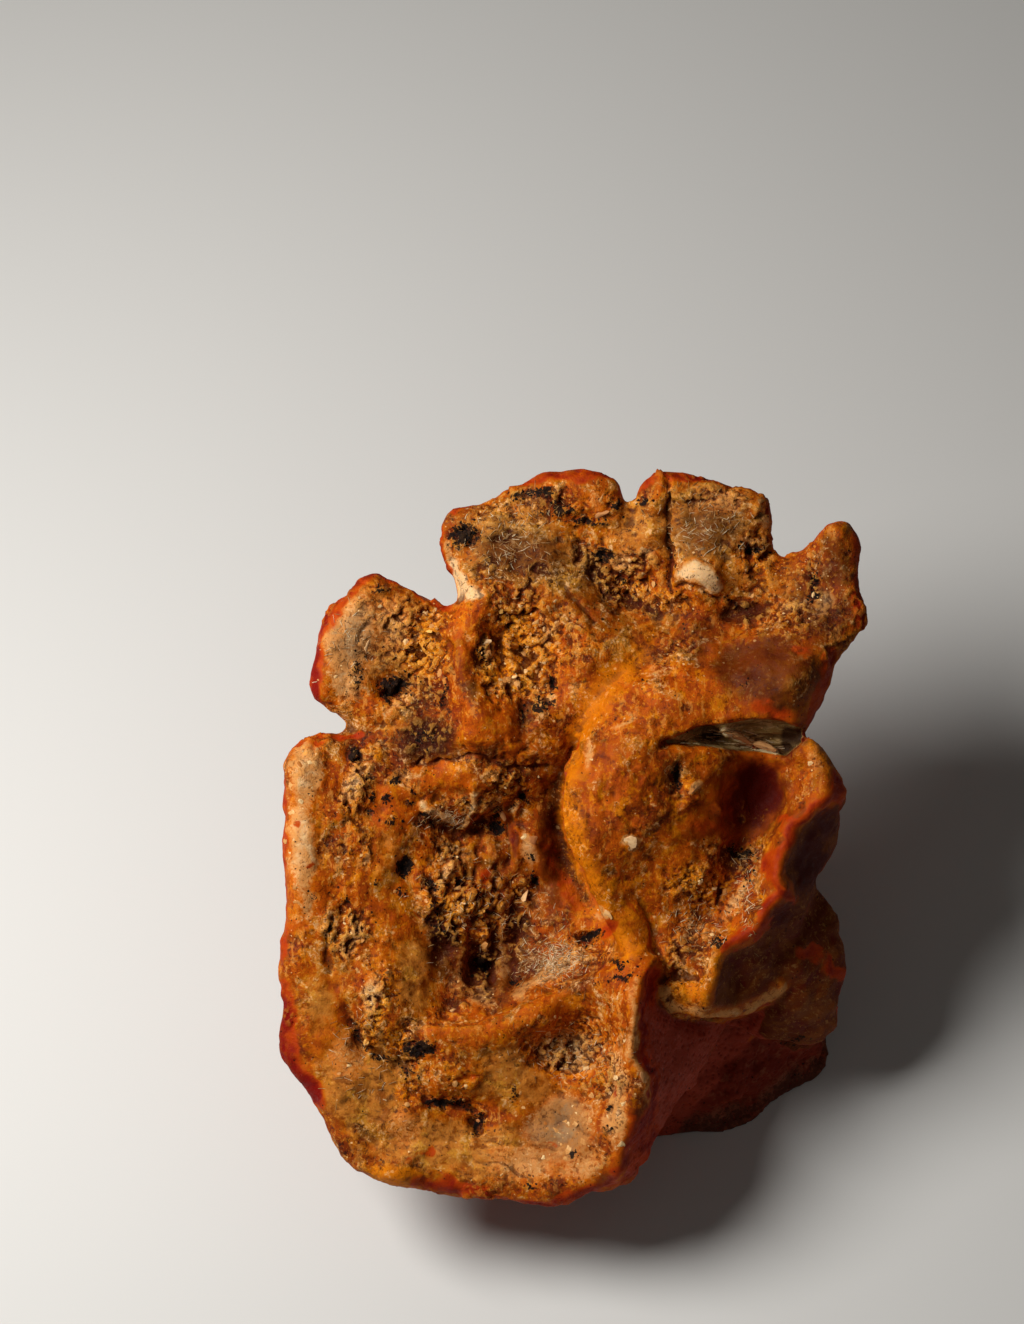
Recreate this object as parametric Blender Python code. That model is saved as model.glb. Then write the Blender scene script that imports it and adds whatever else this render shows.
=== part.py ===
# Lobster mushroom: a folded, lobed cap on a stout stem, cut off flat at the ground.
#
# The cap is drawn in millimetres as it is seen square on from the front: u to the right,
# v up and w towards the eye. place() turns those figures into metres with +Z up.
# Each lobe is a thick sheet with a rounded margin, drawn by its outline and by spot heights
# of its upper face. The lobes and the stem are fused into one skin, and then ridges, pits
# and tears are pressed into that skin.

import math

import bmesh
import bpy
import numpy as np
from mathutils import Matrix, Vector, noise
from mathutils.bvhtree import BVHTree
from mathutils.geometry import delaunay_2d_cdt

# Driving dimensions, in millimetres and degrees.
EYE_DISTANCE = 802.0
EYE_U = -8.7
EYE_V = 32.4
VIEW_ELEVATION = math.radians(60.0)
GROUND_Z = -60.0
CAP_MIDDLE = (2.3, 2.2)

# How finely the lobes are laid out: points along an outline, curve samples between two of its
# given points, rings of points inside it as shares of the margin, and the grid behind them.
OUTLINE_STEP = 1.4
CURVE_SAMPLES = 12
MARGIN_RINGS = (0.08, 0.28, 0.58, 1.0)
RING_CLEARANCE = 0.96
GRID_STEP = 2.4
EDGE_TOLERANCE = 0.0001
TRIANGULATION_TOLERANCE = 0.000001
SMALLEST_SQUARE = 0.000000001

# The fused skin: face size, smoothing passes and their strength, the share of triangles kept,
# and how much harder the hidden side is thinned.
SKIN_STEP = 1.0
SKIN_SMOOTHING = 6
SMOOTHING_STRENGTH = 0.5
TRIANGLE_SHARE = 0.095
HIDDEN_THINNING = 0.06
SEEN_PROTECTION = 0.8
MERGE_DISTANCE = 0.0001

# What counts as the upper side: nothing more than this far above it, and turned to the eye.
LOOK_HEIGHT = 200.0
COVER_DEPTH = 1.0
FACING_START = 0.05
FACING_RANGE = 0.45

# Ridges, grooves, pits and lumps fall to half their height at their half width.
HALF_FALL = 0.7

CRUST_COLOUR = (0.50, 0.21, 0.06, 1.0)
CRUST_ROUGHNESS = 0.72

# The crown: the broad plate at the left and below, the left lobe, the two top lobes and the
# upper right lobe with its finger. The outline runs anticlockwise from the left notch.
CROWN_OUTLINE = (
    (-36.0, 19.0), (-40.5, 19.7), (-45.4, 19.3), (-48.5, 17.2), (-50.4, 13.0), (-50.1, 6.0),
    (-51.0, -2.0), (-50.4, -8.0), (-49.8, -15.0), (-51.7, -22.5), (-50.9, -29.5), (-51.5, -36.0),
    (-50.0, -41.5), (-45.8, -46.7), (-42.6, -52.0), (-39.8, -57.8), (-33.0, -61.4), (-29.6, -63.5),
    (-26.0, -63.2), (-18.0, -65.1), (-9.0, -66.0), (-0.9, -66.9), (7.0, -64.0), (13.2, -60.2),
    (16.4, -56.8), (19.2, -51.8), (22.6, -46.0), (25.8, -41.2), (29.2, -36.0), (33.0, -28.0),
    (38.0, -15.0), (41.5, 0.0), (43.5, 12.0), (45.0, 20.4), (47.2, 22.8), (48.9, 26.6),
    (49.4, 30.4), (50.4, 33.9), (53.6, 36.7), (55.6, 39.8), (55.5, 43.0), (54.5, 46.0),
    (54.9, 50.0), (55.2, 54.0), (53.8, 57.2), (51.0, 58.3), (48.3, 57.3), (46.4, 54.8),
    (44.6, 53.3), (41.0, 52.2), (39.1, 53.0), (38.5, 56.0), (38.9, 59.4), (37.8, 62.4),
    (35.8, 64.0), (31.2, 64.6), (26.4, 66.1), (21.8, 66.8), (19.1, 67.8), (16.1, 66.8),
    (14.3, 64.4), (13.5, 61.4), (12.7, 57.4), (11.9, 61.6), (10.7, 65.2), (9.0, 67.0),
    (4.5, 67.3), (-3.3, 66.7), (-9.5, 64.2), (-14.2, 61.7), (-19.3, 60.6), (-21.6, 58.0),
    (-21.3, 51.5), (-19.8, 46.0), (-19.2, 42.8), (-24.5, 44.9), (-29.4, 47.1), (-33.2, 49.2),
    (-36.2, 48.0), (-37.8, 45.5), (-41.4, 42.8), (-43.8, 37.5), (-44.4, 33.0), (-45.7, 29.5),
    (-44.9, 25.8), (-41.2, 22.5), (-38.0, 20.4),
)
CROWN_SPOTS = (
    # left margin and its inner shoulder
    (-46.0, 14.0, 3.0), (-46.0, 0.0, 4.0), (-46.0, -14.0, 4.0), (-47.0, -28.0, 3.0),
    (-46.0, -40.0, 1.0), (-36.0, 6.0, 2.5), (-36.0, -14.0, 1.5), (-37.0, -28.0, 2.0),
    # lower margin and the floor behind it
    (-38.0, -53.0, -0.5), (-28.0, -59.5, -1.0), (-12.0, -62.0, -1.0), (2.0, -62.0, 0.5),
    (-30.0, -44.0, -1.0), (-22.0, -53.0, -2.5), (-8.0, -54.0, -3.5), (2.0, -54.0, -3.0),
    (-14.0, -42.0, -2.0), (0.0, -40.0, -3.0), (8.0, -44.0, -1.0), (6.0, -34.0, -2.0),
    # upturned right margin of the plate and the wall below it
    (9.0, -57.0, 3.0), (12.5, -50.5, 5.0), (14.0, -45.0, 6.0), (12.6, -39.0, 6.5),
    (12.8, -33.0, 6.0), (14.5, -26.0, 4.5), (14.5, -57.0, -3.5), (17.0, -50.5, -3.0),
    (20.0, -45.5, -5.0), (19.0, -38.0, -2.5), (24.5, -37.0, -10.0), (19.5, -31.0, -3.0),
    (26.0, -30.0, -12.0), (31.0, -24.0, -16.0),
    # shoulder above the crater's left and lower sides
    (-29.0, -6.0, 0.0), (-29.0, -24.0, 0.5), (-22.0, -34.5, 0.0), (-14.0, -35.0, 0.0),
    (-5.0, -31.0, 0.0), (7.0, -26.5, 0.0),
    # crater
    (-21.0, -10.0, -5.0), (-12.0, -10.0, -8.5), (-3.0, -14.0, -11.5), (2.0, -7.0, -12.0),
    (4.0, -19.0, -7.5), (-4.0, -22.0, -8.5), (-9.0, -27.0, -8.5), (-17.0, -27.0, -7.0),
    (-20.0, -18.0, -5.0), (-17.0, 2.0, -7.0), (-6.0, 3.0, -9.0), (0.0, 10.0, -6.5),
    # swelling above the crater
    (-25.0, 9.0, -1.0), (-14.0, 10.5, -1.0), (-14.0, 18.0, 2.0), (-4.0, 19.0, 1.0),
    (3.0, 25.0, 0.0),
    (-24.0, 21.0, -1.0), (-17.0, 32.0, 2.5), (-7.0, 33.0, 1.0), (4.0, 34.0, 1.5),
    (-8.0, 43.0, 0.5),
    # left lobe
    (-24.0, 34.0, -1.5), (-31.0, 34.0, -0.5), (-40.0, 31.0, 1.5), (-33.0, 44.0, 1.0),
    # top lobes
    (-16.0, 52.0, -0.5), (-5.0, 52.0, -1.0), (-8.0, 60.0, -1.5), (4.0, 62.0, -0.5),
    (8.0, 49.0, -3.5), (14.0, 44.0, -4.5), (20.0, 50.0, -2.0), (18.0, 62.0, 0.5),
    (28.0, 58.0, -0.5), (34.5, 60.0, 1.0), (27.0, 47.0, -1.0), (36.0, 52.0, -2.0),
    # valley and upper right lobe
    (24.0, 39.0, -1.5), (33.0, 41.0, -4.0), (39.0, 44.0, -2.5), (46.0, 46.0, -1.5),
    (51.0, 49.0, 2.0), (51.0, 55.0, 1.5), (51.0, 41.0, 1.0), (45.0, 36.0, 3.5),
    (34.0, 31.0, 3.5), (42.0, 28.0, 6.5), (47.0, 28.0, 3.5),
    # under the right lobe
    (20.0, 20.0, -3.0), (18.0, 4.0, -9.0), (34.0, 10.0, -12.0), (26.0, -14.0, -14.0),
)
CROWN_MARGIN = 4.2
CROWN_BODY = 10.0
CROWN_BODY_REACH = 30.0

# The right lobe: the smooth fold that lies over the plate, the bowl behind it, the red rim
# at its right with the wall outside it, and the lip at its lower end.
RIGHT_OUTLINE = (
    (20.0, 35.5), (14.5, 33.6), (10.0, 30.2), (6.8, 25.4), (4.6, 21.0), (2.6, 16.0),
    (0.7, 11.0), (0.2, 6.0), (0.6, 1.5), (2.0, -2.5), (3.9, -7.0), (6.0, -11.5),
    (8.6, -16.5), (11.5, -20.5), (15.2, -23.0), (18.9, -24.6), (17.7, -28.3), (21.8, -31.1),
    (28.2, -32.1), (33.2, -31.6), (37.6, -29.2), (41.5, -25.0), (44.6, -16.0), (46.6, -7.3),
    (49.6, -1.8), (51.4, 3.0), (52.2, 8.8), (50.9, 12.6), (48.8, 16.0), (46.0, 18.8),
    (44.0, 20.6), (44.5, 24.0), (42.0, 30.0), (35.0, 35.5), (27.0, 37.5),
)
RIGHT_SPOTS = (
    # fold over the plate
    (14.5, 30.0, 1.5), (8.5, 23.0, 4.0), (5.5, 15.0, 6.0), (4.5, 6.0, 7.5),
    (5.0, -1.0, 7.0), (7.5, -8.0, 5.0), (10.5, -14.0, 2.5), (13.0, -19.5, 1.5),
    # slope from the fold down to the bowl
    (22.0, 32.0, 1.5), (30.0, 34.0, 0.5), (19.0, 26.0, 5.5), (12.0, 18.0, 8.0),
    (12.0, 8.0, 8.5), (12.5, -1.0, 6.0), (20.0, 14.0, 5.5), (20.0, 3.0, 3.5),
    (28.0, 13.0, 3.0), (27.0, 3.0, 0.0), (30.0, 24.0, 5.5), (38.0, 26.0, 5.5),
    (18.0, -8.0, 0.5), (25.0, -7.0, -2.0), (19.5, -16.0, -1.5), (24.0, -18.0, -2.5),
    (21.0, -22.5, -1.0),
    # bowl floor along the rim
    (39.0, 14.0, -5.0), (38.5, 6.0, -7.0), (35.0, -2.0, -6.0), (33.0, -9.0, -5.0),
    (29.0, -15.0, -4.0),
    # rim
    (46.0, 15.5, 2.5), (48.5, 10.0, 2.0), (44.0, 6.5, 1.0), (41.5, 0.5, 1.5),
    (40.0, -6.0, 2.0), (41.0, -10.0, 1.5), (36.5, -14.0, 2.0), (31.0, -19.0, 1.5),
    (28.0, -23.0, 1.0), (26.5, -28.0, 0.5), (21.0, -28.0, 0.5),
    # wall outside the rim
    (48.0, 2.0, -5.0), (45.5, -3.5, -5.0), (44.5, -12.0, -5.0), (40.5, -17.0, -5.5),
    (34.0, -24.0, -4.0), (39.0, -25.0, -8.0), (31.0, -29.0, -4.0),
)
RIGHT_MARGIN = 3.4
RIGHT_BODY = 9.0
RIGHT_BODY_REACH = 16.0

# The swelling under the right lobe.
SWELLING_OUTLINE = (
    (44.0, -5.0), (47.6, -8.6), (50.2, -12.0), (51.5, -16.0), (52.5, -21.0), (52.4, -25.5),
    (51.4, -29.5), (50.3, -33.5), (48.2, -36.6), (44.6, -38.3), (39.0, -37.2), (33.0, -35.0),
    (27.0, -29.0), (28.0, -18.0), (36.0, -8.0),
)
SWELLING_SPOTS = (
    (45.0, -12.0, -5.5), (47.5, -18.0, -8.0), (43.0, -22.0, -8.0), (46.5, -27.0, -9.5),
    (42.0, -31.0, -11.5), (46.0, -34.0, -14.0), (36.0, -31.0, -14.0), (34.0, -20.0, -12.0),
)
SWELLING_MARGIN = 7.0
SWELLING_BODY = 14.0
SWELLING_BODY_REACH = 12.0

# The rounded underside of the plate's right margin, from the margin's foot up to the stem:
# u, v, w and the radius of the flesh there.
WALL_ROPE = (
    (9.5, -57.5, -3.5, 4.0), (12.6, -54.0, -7.0, 4.8), (15.2, -46.0, -13.0, 6.4),
    (18.4, -37.4, -20.0, 8.2), (20.0, -30.5, -23.0, 10.2), (20.0, -20.0, -24.0, 11.0),
)
WALL_FILL = (
    (4.0, -48.0, -8.0, 5.0), (8.0, -38.0, -17.0, 9.0), (14.0, -28.0, -28.0, 12.0),
)
ROPE_STEP = 2.0
ROPE_SIDES = 16

# Rings of the stem in the standing frame: x, y and z of the centre, half width along x,
# half width along y, and the ring's tilt in degrees, from level at the cut to the cap's own.
STEM_RINGS = (
    (22.0, -8.0, -66.0, 30.0, 23.5, 0.0),
    (22.0, -8.0, -59.0, 30.5, 24.0, 0.0),
    (21.0, -7.0, -50.0, 29.0, 23.0, 3.0),
    (17.5, -4.5, -41.0, 27.0, 23.0, 12.0),
    (12.0, 0.5, -32.0, 28.0, 25.5, 22.0),
    (8.0, 3.0, -24.0, 30.5, 29.5, 30.0),
    (5.0, 3.5, -18.0, 34.0, 34.0, 30.0),
    (3.0, 2.8, -12.5, 36.0, 37.0, 30.0),
)
STEM_SIDES = 64
# Flutes round the stem: their number, depth as a share of the radius and twist a millimetre of
# height, and the slower waves under them with half that depth.
STEM_FLUTES = 9
STEM_FLUTE_DEPTH = 0.045
STEM_FLUTE_TWIST = 0.04
STEM_WAVES = 5
STEM_WAVE_TURN = 1.3

# Ridges and grooves on the upper side: (points along it, half width, height).
RIDGES = (
    # swelling between the left lobe and the top pit
    (((-15.5, 21.0), (-17.5, 28.0), (-17.5, 36.0), (-14.5, 42.0)), 3.6, 2.0),
    # ledge below the crater, from the fold's foot to the left shoulder
    (((14.0, -21.0), (8.0, -25.0), (0.0, -28.0), (-8.0, -31.5), (-15.0, -34.5), (-23.0, -34.5)),
     2.4, 2.0),
    # roll along the left margin
    (((-46.5, 14.0), (-46.8, 2.0), (-46.5, -11.0)), 3.0, 1.2),
    # red rim of the right lobe
    (((48.0, 8.0), (44.6, 4.8), (41.6, 2.6), (40.9, -1.0), (39.4, -5.0), (40.2, -9.4),
      (37.0, -13.2), (34.6, -16.8), (30.0, -19.6), (28.0, -22.4), (26.8, -27.0)), 1.7, 1.8),
    # right margin of the plate
    (((15.0, -23.5), (13.6, -30.0), (12.8, -37.0), (15.0, -43.0), (15.2, -47.0), (12.2, -54.0),
      (10.0, -59.0)), 1.9, 1.6),
)
GROOVES = (
    # valley between the top lobes and the swelling
    (((18.5, 40.0), (13.0, 44.0), (8.0, 47.5), (4.5, 53.0)), 3.0, 2.6),
    # valley between the top lobe and the upper right lobe
    (((24.0, 41.0), (31.0, 40.5), (38.0, 42.0)), 2.6, 1.6),
    # dark furrow across the lower left
    (((-38.0, -33.0), (-36.0, -37.5), (-28.5, -41.0), (-24.0, -47.5), (-15.5, -49.0),
      (-15.0, -53.0)), 1.9, 2.0),
    # crease between the fold's foot and the bowl
    (((10.5, -5.0), (13.0, -9.5), (15.6, -14.5), (16.8, -18.2), (16.6, -22.0)), 1.0, 1.7),
    # crack across the swelling above the crater
    (((-26.0, 13.5), (-15.0, 15.0), (-7.0, 13.0), (-2.0, 13.5)), 1.3, 1.3),
    # split in the top lobe
    (((19.5, 61.0), (19.6, 55.0), (20.5, 49.5)), 1.2, 1.4),
    # foot of the fold against the plate
    (((3.0, 18.0), (-0.8, 10.0), (-1.0, 3.0), (0.6, -4.0), (4.0, -11.0)), 1.6, 1.8),
    # seam between the lip and the wall of the plate
    (((18.0, -25.4), (16.6, -28.6), (21.0, -32.3), (28.0, -33.6), (34.0, -32.8)), 1.2, 1.9),
    # crease across the channel above the lip
    (((18.6, -23.4), (22.0, -24.4), (26.5, -24.4)), 0.9, 1.0),
    # seam between the right lobe and the swelling below it
    (((35.0, -31.6), (39.5, -28.6), (43.0, -26.0)), 1.4, 1.4),
    # folds of the stem
    (((25.0, -43.0), (33.0, -40.5), (44.0, -39.5)), 1.2, 1.2),
    (((24.0, -47.5), (33.0, -45.0), (45.0, -43.0)), 1.2, 1.0),
    (((23.0, -51.0), (33.0, -48.6), (41.0, -47.0)), 1.1, 0.9),
)
# Pits: (u, v, half width, half height, depth, edge sharpness from 1 soft to 4 steep).
PITS = (
    (-7.0, 33.0, 8.6, 8.8, 3.4, 2.5),
    (1.5, -38.0, 8.6, 4.6, 3.6, 2.4),
    (-30.0, 28.0, 3.4, 2.6, 2.4, 1.5),
    (-17.6, 55.2, 3.0, 2.6, 1.8, 1.5),
    (-6.5, 22.0, 1.6, 2.6, 2.0, 1.2),
    (5.2, -18.0, 2.2, 1.8, 2.4, 1.2),
    (-13.5, -22.5, 3.0, 2.6, 2.0, 1.2),
    (-21.0, -29.5, 3.0, 3.0, 1.6, 1.2),
    (-10.0, 3.5, 4.5, 2.6, 2.0, 1.4),
    (-19.0, 2.0, 4.5, 2.2, 1.4, 1.4),
    (21.2, 11.0, 1.6, 2.4, 1.3, 1.2),
    (33.0, -3.5, 3.6, 3.2, 1.2, 1.2),
    (-37.5, 14.5, 1.8, 1.8, 1.3, 1.2),
    (-28.0, -5.0, 2.0, 2.2, 1.2, 1.2),
    (-33.5, 5.5, 2.0, 2.4, 1.0, 1.2),
    (36.5, 53.0, 2.6, 1.8, 1.4, 1.2),
    (31.5, 33.0, 2.4, 2.8, 1.2, 1.2),
    (32.0, -23.5, 3.0, 2.6, 1.0, 1.2),
)
# Lumps, written like the pits with a height for the depth.
LUMPS = (
    (-29.0, -60.5, 3.4, 2.8, 2.4, 1.4),
    (26.5, 48.5, 3.6, 2.8, 1.3, 2.0),
    (-17.0, -43.0, 4.0, 3.2, 1.3, 1.2),
    (-32.5, -33.0, 3.0, 5.0, 1.5, 1.2),
    (-26.0, -50.0, 5.0, 3.0, 1.2, 1.2),
    (-38.0, -46.0, 4.0, 4.0, 1.0, 1.2),
    (-12.0, 22.0, 5.0, 3.5, 1.0, 1.2),
    (41.0, 27.5, 6.0, 4.5, 1.4, 1.2),
    (51.5, 55.0, 2.6, 3.0, 1.2, 1.2),
    (-5.0, -2.0, 4.0, 4.0, 1.5, 1.2),
    (-17.0, -13.0, 5.0, 5.0, 1.3, 1.2),
    (25.0, -7.0, 5.5, 4.0, 1.2, 1.5),
    (12.0, -0.5, 2.2, 1.6, 0.6, 2.0),
    (-36.0, 37.5, 3.4, 3.4, 0.8, 1.2),
)

# The tear between the upper right lobe and the right lobe, from its tip to the margin. It is
# shallow under the upper edge and deepest behind the lower one.
TEAR_UPPER_EDGE = (
    (18.2, 17.6), (25.0, 20.0), (31.0, 21.7), (36.0, 22.3), (41.0, 21.8), (44.5, 20.9), (48.0, 20.9),
)
TEAR_LOWER_EDGE = (
    (18.2, 17.4), (25.0, 16.8), (31.0, 15.9), (37.3, 15.5), (41.0, 15.4), (44.0, 18.0), (48.0, 19.4),
)
TEAR_DEPTH = 5.5
TEAR_SLOPE = 0.3
TEAR_EDGE = 0.12
TEAR_HOLE = (28.5, 18.6, 3.4, 1.3, 3.0, 1.5)

# Small lumps all over, and blunt folds under the cap that run out from the stem.
LUMP_SIZE = 9.0
LUMP_HEIGHT = 0.7
LUMP_OCTAVES = 2
UNDER_FOLDS = 34
UNDER_FOLD_HEIGHT = 0.55
UNDER_FOLD_CENTRE = (12.0, -10.0)
UNDER_FOLD_INNER = 26.0
UNDER_FOLD_INNER_FADE = 8.0
UNDER_FOLD_OUTER = 46.0
UNDER_FOLD_OUTER_FADE = 14.0
UNDER_FOLD_WANDER = 1.5
UNDER_FOLD_WANDERS = 3
UNDER_FOLD_TWIST = 0.06
UNDER_SIDE_START = 0.2
UNDER_SIDE_RANGE = 0.4


def clear_scene():
    for scene_object in list(bpy.data.objects):
        bpy.data.objects.remove(scene_object, do_unlink=True)


def smooth_loop(points, step):
    """Even points along the closed smooth curve that passes through the given points."""
    knots = np.array(points, dtype=float)
    before = np.roll(knots, 1, axis=0)
    after = np.roll(knots, -1, axis=0)
    beyond = np.roll(knots, -2, axis=0)
    samples = []
    for t in np.linspace(0.0, 1.0, CURVE_SAMPLES, endpoint=False):
        samples.append(0.5 * (
            2.0 * knots
            + (after - before) * t
            + (2.0 * before - 5.0 * knots + 4.0 * after - beyond) * t ** 2
            + (3.0 * knots - before - 3.0 * after + beyond) * t ** 3
        ))
    curve = np.stack(samples, axis=1).reshape(-1, 2)
    closed = np.vstack([curve, curve[:1]])
    lengths = np.linalg.norm(np.diff(closed, axis=0), axis=1)
    travelled = np.concatenate([[0.0], np.cumsum(lengths)])
    count = int(round(travelled[-1] / step))
    stops = np.linspace(0.0, travelled[-1], count, endpoint=False)
    return np.column_stack([np.interp(stops, travelled, closed[:, axis]) for axis in (0, 1)])


def segment_distance(points, line, closed):
    """Shortest distance from each point to a line of straight segments."""
    starts = np.array(line, dtype=float)
    ends = np.roll(starts, -1, axis=0)
    if not closed:
        starts = starts[:-1]
        ends = ends[:-1]
    nearest = np.full(len(points), np.inf)
    for start, end in zip(starts, ends):
        run = end - start
        along = np.clip(((points - start) @ run) / (run @ run), 0.0, 1.0)
        gap = np.linalg.norm(points - start - along[:, None] * run, axis=1)
        nearest = np.minimum(nearest, gap)
    return nearest


def inside_loop(points, loop):
    """True for each point inside the closed loop, by counting crossings."""
    inside = np.zeros(len(points), dtype=bool)
    ends = np.roll(loop, -1, axis=0)
    for (u0, v0), (u1, v1) in zip(loop, ends):
        spans = (v0 > points[:, 1]) != (v1 > points[:, 1])
        rise = v1 - v0 if v1 != v0 else 1.0
        crossing = u0 + (points[:, 1] - v0) * (u1 - u0) / rise
        inside ^= spans & (points[:, 0] < crossing)
    return inside


def height_field(spots):
    """A smooth surface through spot heights: the shape of a thin plate bent to meet them."""
    spots = np.array(spots, dtype=float)
    places = spots[:, :2]

    def bending(a, b):
        squared = ((a[:, None, :] - b[None, :, :]) ** 2).sum(axis=2)
        return squared * np.log(squared + SMALLEST_SQUARE)

    count = len(spots)
    system = np.zeros((count + 3, count + 3))
    system[:count, :count] = bending(places, places)
    system[:count, count] = 1.0
    system[:count, count + 1:] = places
    system[count:, :count] = system[:count, count:].T
    weights = np.linalg.solve(system, np.concatenate([spots[:, 2], np.zeros(3)]))

    def height(points):
        flat = np.column_stack([np.ones(len(points)), points])
        return bending(points, places) @ weights[:count] + flat @ weights[count:]

    return height


def smooth_step(value):
    value = np.clip(value, 0.0, 1.0)
    return value * value * (3.0 - 2.0 * value)


def lobe_mesh(outline, spots, margin, body, body_reach):
    """A closed thick sheet with a rounded margin, as vertices and faces."""
    loop = smooth_loop(outline, OUTLINE_STEP)
    along = np.roll(loop, -1, axis=0) - np.roll(loop, 1, axis=0)
    along /= np.linalg.norm(along, axis=1)[:, None]
    inward = np.column_stack([-along[:, 1], along[:, 0]])

    inner = []
    for share in MARGIN_RINGS:
        offset = share * margin
        moved = loop + inward * offset
        clear = segment_distance(moved, loop, True) > RING_CLEARANCE * offset
        inner.append(moved[clear & inside_loop(moved, loop)])
    low = loop.min(axis=0)
    high = loop.max(axis=0)
    grid_u, grid_v = np.meshgrid(
        np.arange(low[0], high[0], GRID_STEP), np.arange(low[1], high[1], GRID_STEP)
    )
    grid = np.column_stack([grid_u.ravel(), grid_v.ravel()])
    deep = segment_distance(grid, loop, True) > margin + 0.5 * GRID_STEP
    inner.append(grid[deep & inside_loop(grid, loop)])

    plan = np.vstack([loop] + inner)
    count = len(loop)
    edges = [(index, (index + 1) % count) for index in range(count)]
    corners = [Vector(point) for point in plan]
    filled = delaunay_2d_cdt(corners, edges, [], 1, TRIANGULATION_TOLERANCE)
    plan = np.array([tuple(point) for point in filled[0]])
    triangles = [tuple(face) for face in filled[2]]

    depth = segment_distance(plan, loop, True)
    edge = depth < EDGE_TOLERANCE
    round_off = np.sqrt(1.0 - (1.0 - np.minimum(depth / margin, 1.0)) ** 2)
    height = height_field(spots)(plan)
    front = height - margin * (1.0 - round_off)
    back = height - margin * (1.0 + round_off) - body * smooth_step(depth / body_reach)

    vertices = [(u, v, w) for (u, v), w in zip(plan, front)]
    back_index = list(range(len(plan)))
    for index, ((u, v), w) in enumerate(zip(plan, back)):
        if not edge[index]:
            back_index[index] = len(vertices)
            vertices.append((u, v, w))
    faces = list(triangles)
    faces += [tuple(back_index[corner] for corner in reversed(face)) for face in triangles]
    return vertices, faces


def seen_from_standing(x, y, z):
    """Standing frame to the frame that the cap is drawn in, both in millimetres."""
    v = y * math.sin(VIEW_ELEVATION) + z * math.cos(VIEW_ELEVATION)
    w = -y * math.cos(VIEW_ELEVATION) + z * math.sin(VIEW_ELEVATION)
    widening = (EYE_DISTANCE - w) / EYE_DISTANCE
    return EYE_U + (x - EYE_U) / widening, EYE_V + (v - EYE_V) / widening, w


def place(points):
    """Drawn frame to the standing frame, in metres.

    The origin is the middle of the cap's length and width, at the height of the cut.
    """
    widening = (EYE_DISTANCE - points[:, 2]) / EYE_DISTANCE
    u = EYE_U + (points[:, 0] - EYE_U) * widening
    v = EYE_V + (points[:, 1] - EYE_V) * widening
    w = points[:, 2]
    y = v * math.sin(VIEW_ELEVATION) - w * math.cos(VIEW_ELEVATION)
    z = v * math.cos(VIEW_ELEVATION) + w * math.sin(VIEW_ELEVATION) - GROUND_Z
    return np.column_stack([u - CAP_MIDDLE[0], y - CAP_MIDDLE[1], z]) * 0.001


def stem_mesh():
    """The stem as a stack of bridged rings, closed at both ends."""
    stem = bmesh.new()
    loops = []
    for x, y, z, half_x, half_y, tilt_degrees in STEM_RINGS:
        tilt = math.radians(tilt_degrees)
        ring = []
        for side in range(STEM_SIDES):
            angle = 2.0 * math.pi * side / STEM_SIDES
            flute = 1.0 + STEM_FLUTE_DEPTH * math.cos(STEM_FLUTES * angle + STEM_FLUTE_TWIST * z)
            flute += 0.5 * STEM_FLUTE_DEPTH * math.cos(STEM_WAVES * angle + STEM_WAVE_TURN)
            ring_x = half_x * flute * math.cos(angle)
            ring_y = half_y * flute * math.sin(angle)
            ring.append(stem.verts.new(seen_from_standing(
                x + ring_x,
                y + ring_y * math.cos(tilt),
                z + ring_y * math.sin(tilt),
            )))
        loops.append(ring)
    edges = []
    for ring in loops:
        edges += [stem.edges.new((ring[i], ring[(i + 1) % STEM_SIDES])) for i in range(STEM_SIDES)]
    bmesh.ops.bridge_loops(stem, edges=edges)
    stem.faces.new(list(reversed(loops[0])))
    stem.faces.new(loops[-1])
    bmesh.ops.recalc_face_normals(stem, faces=stem.faces)
    mesh = bpy.data.meshes.new("stem rings")
    stem.to_mesh(mesh)
    stem.free()
    return mesh


def rope_mesh(knots):
    """A row of overlapping balls along a line, whose radius changes from knot to knot."""
    rope = bmesh.new()
    knots = np.array(knots)
    for start, end in zip(knots[:-1], knots[1:]):
        length = np.linalg.norm(end[:3] - start[:3])
        for share in np.linspace(0.0, 1.0, int(length / ROPE_STEP) + 2):
            u, v, w, radius = start + share * (end - start)
            bmesh.ops.create_uvsphere(
                rope, u_segments=ROPE_SIDES, v_segments=ROPE_SIDES // 2, radius=radius,
                matrix=Matrix.Translation((u, v, w)),
            )
    mesh = bpy.data.meshes.new("rope")
    rope.to_mesh(mesh)
    rope.free()
    return mesh


def evaluated_mesh(scene_object):
    depsgraph = bpy.context.evaluated_depsgraph_get()
    depsgraph.update()
    return bpy.data.meshes.new_from_object(scene_object.evaluated_get(depsgraph))


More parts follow.
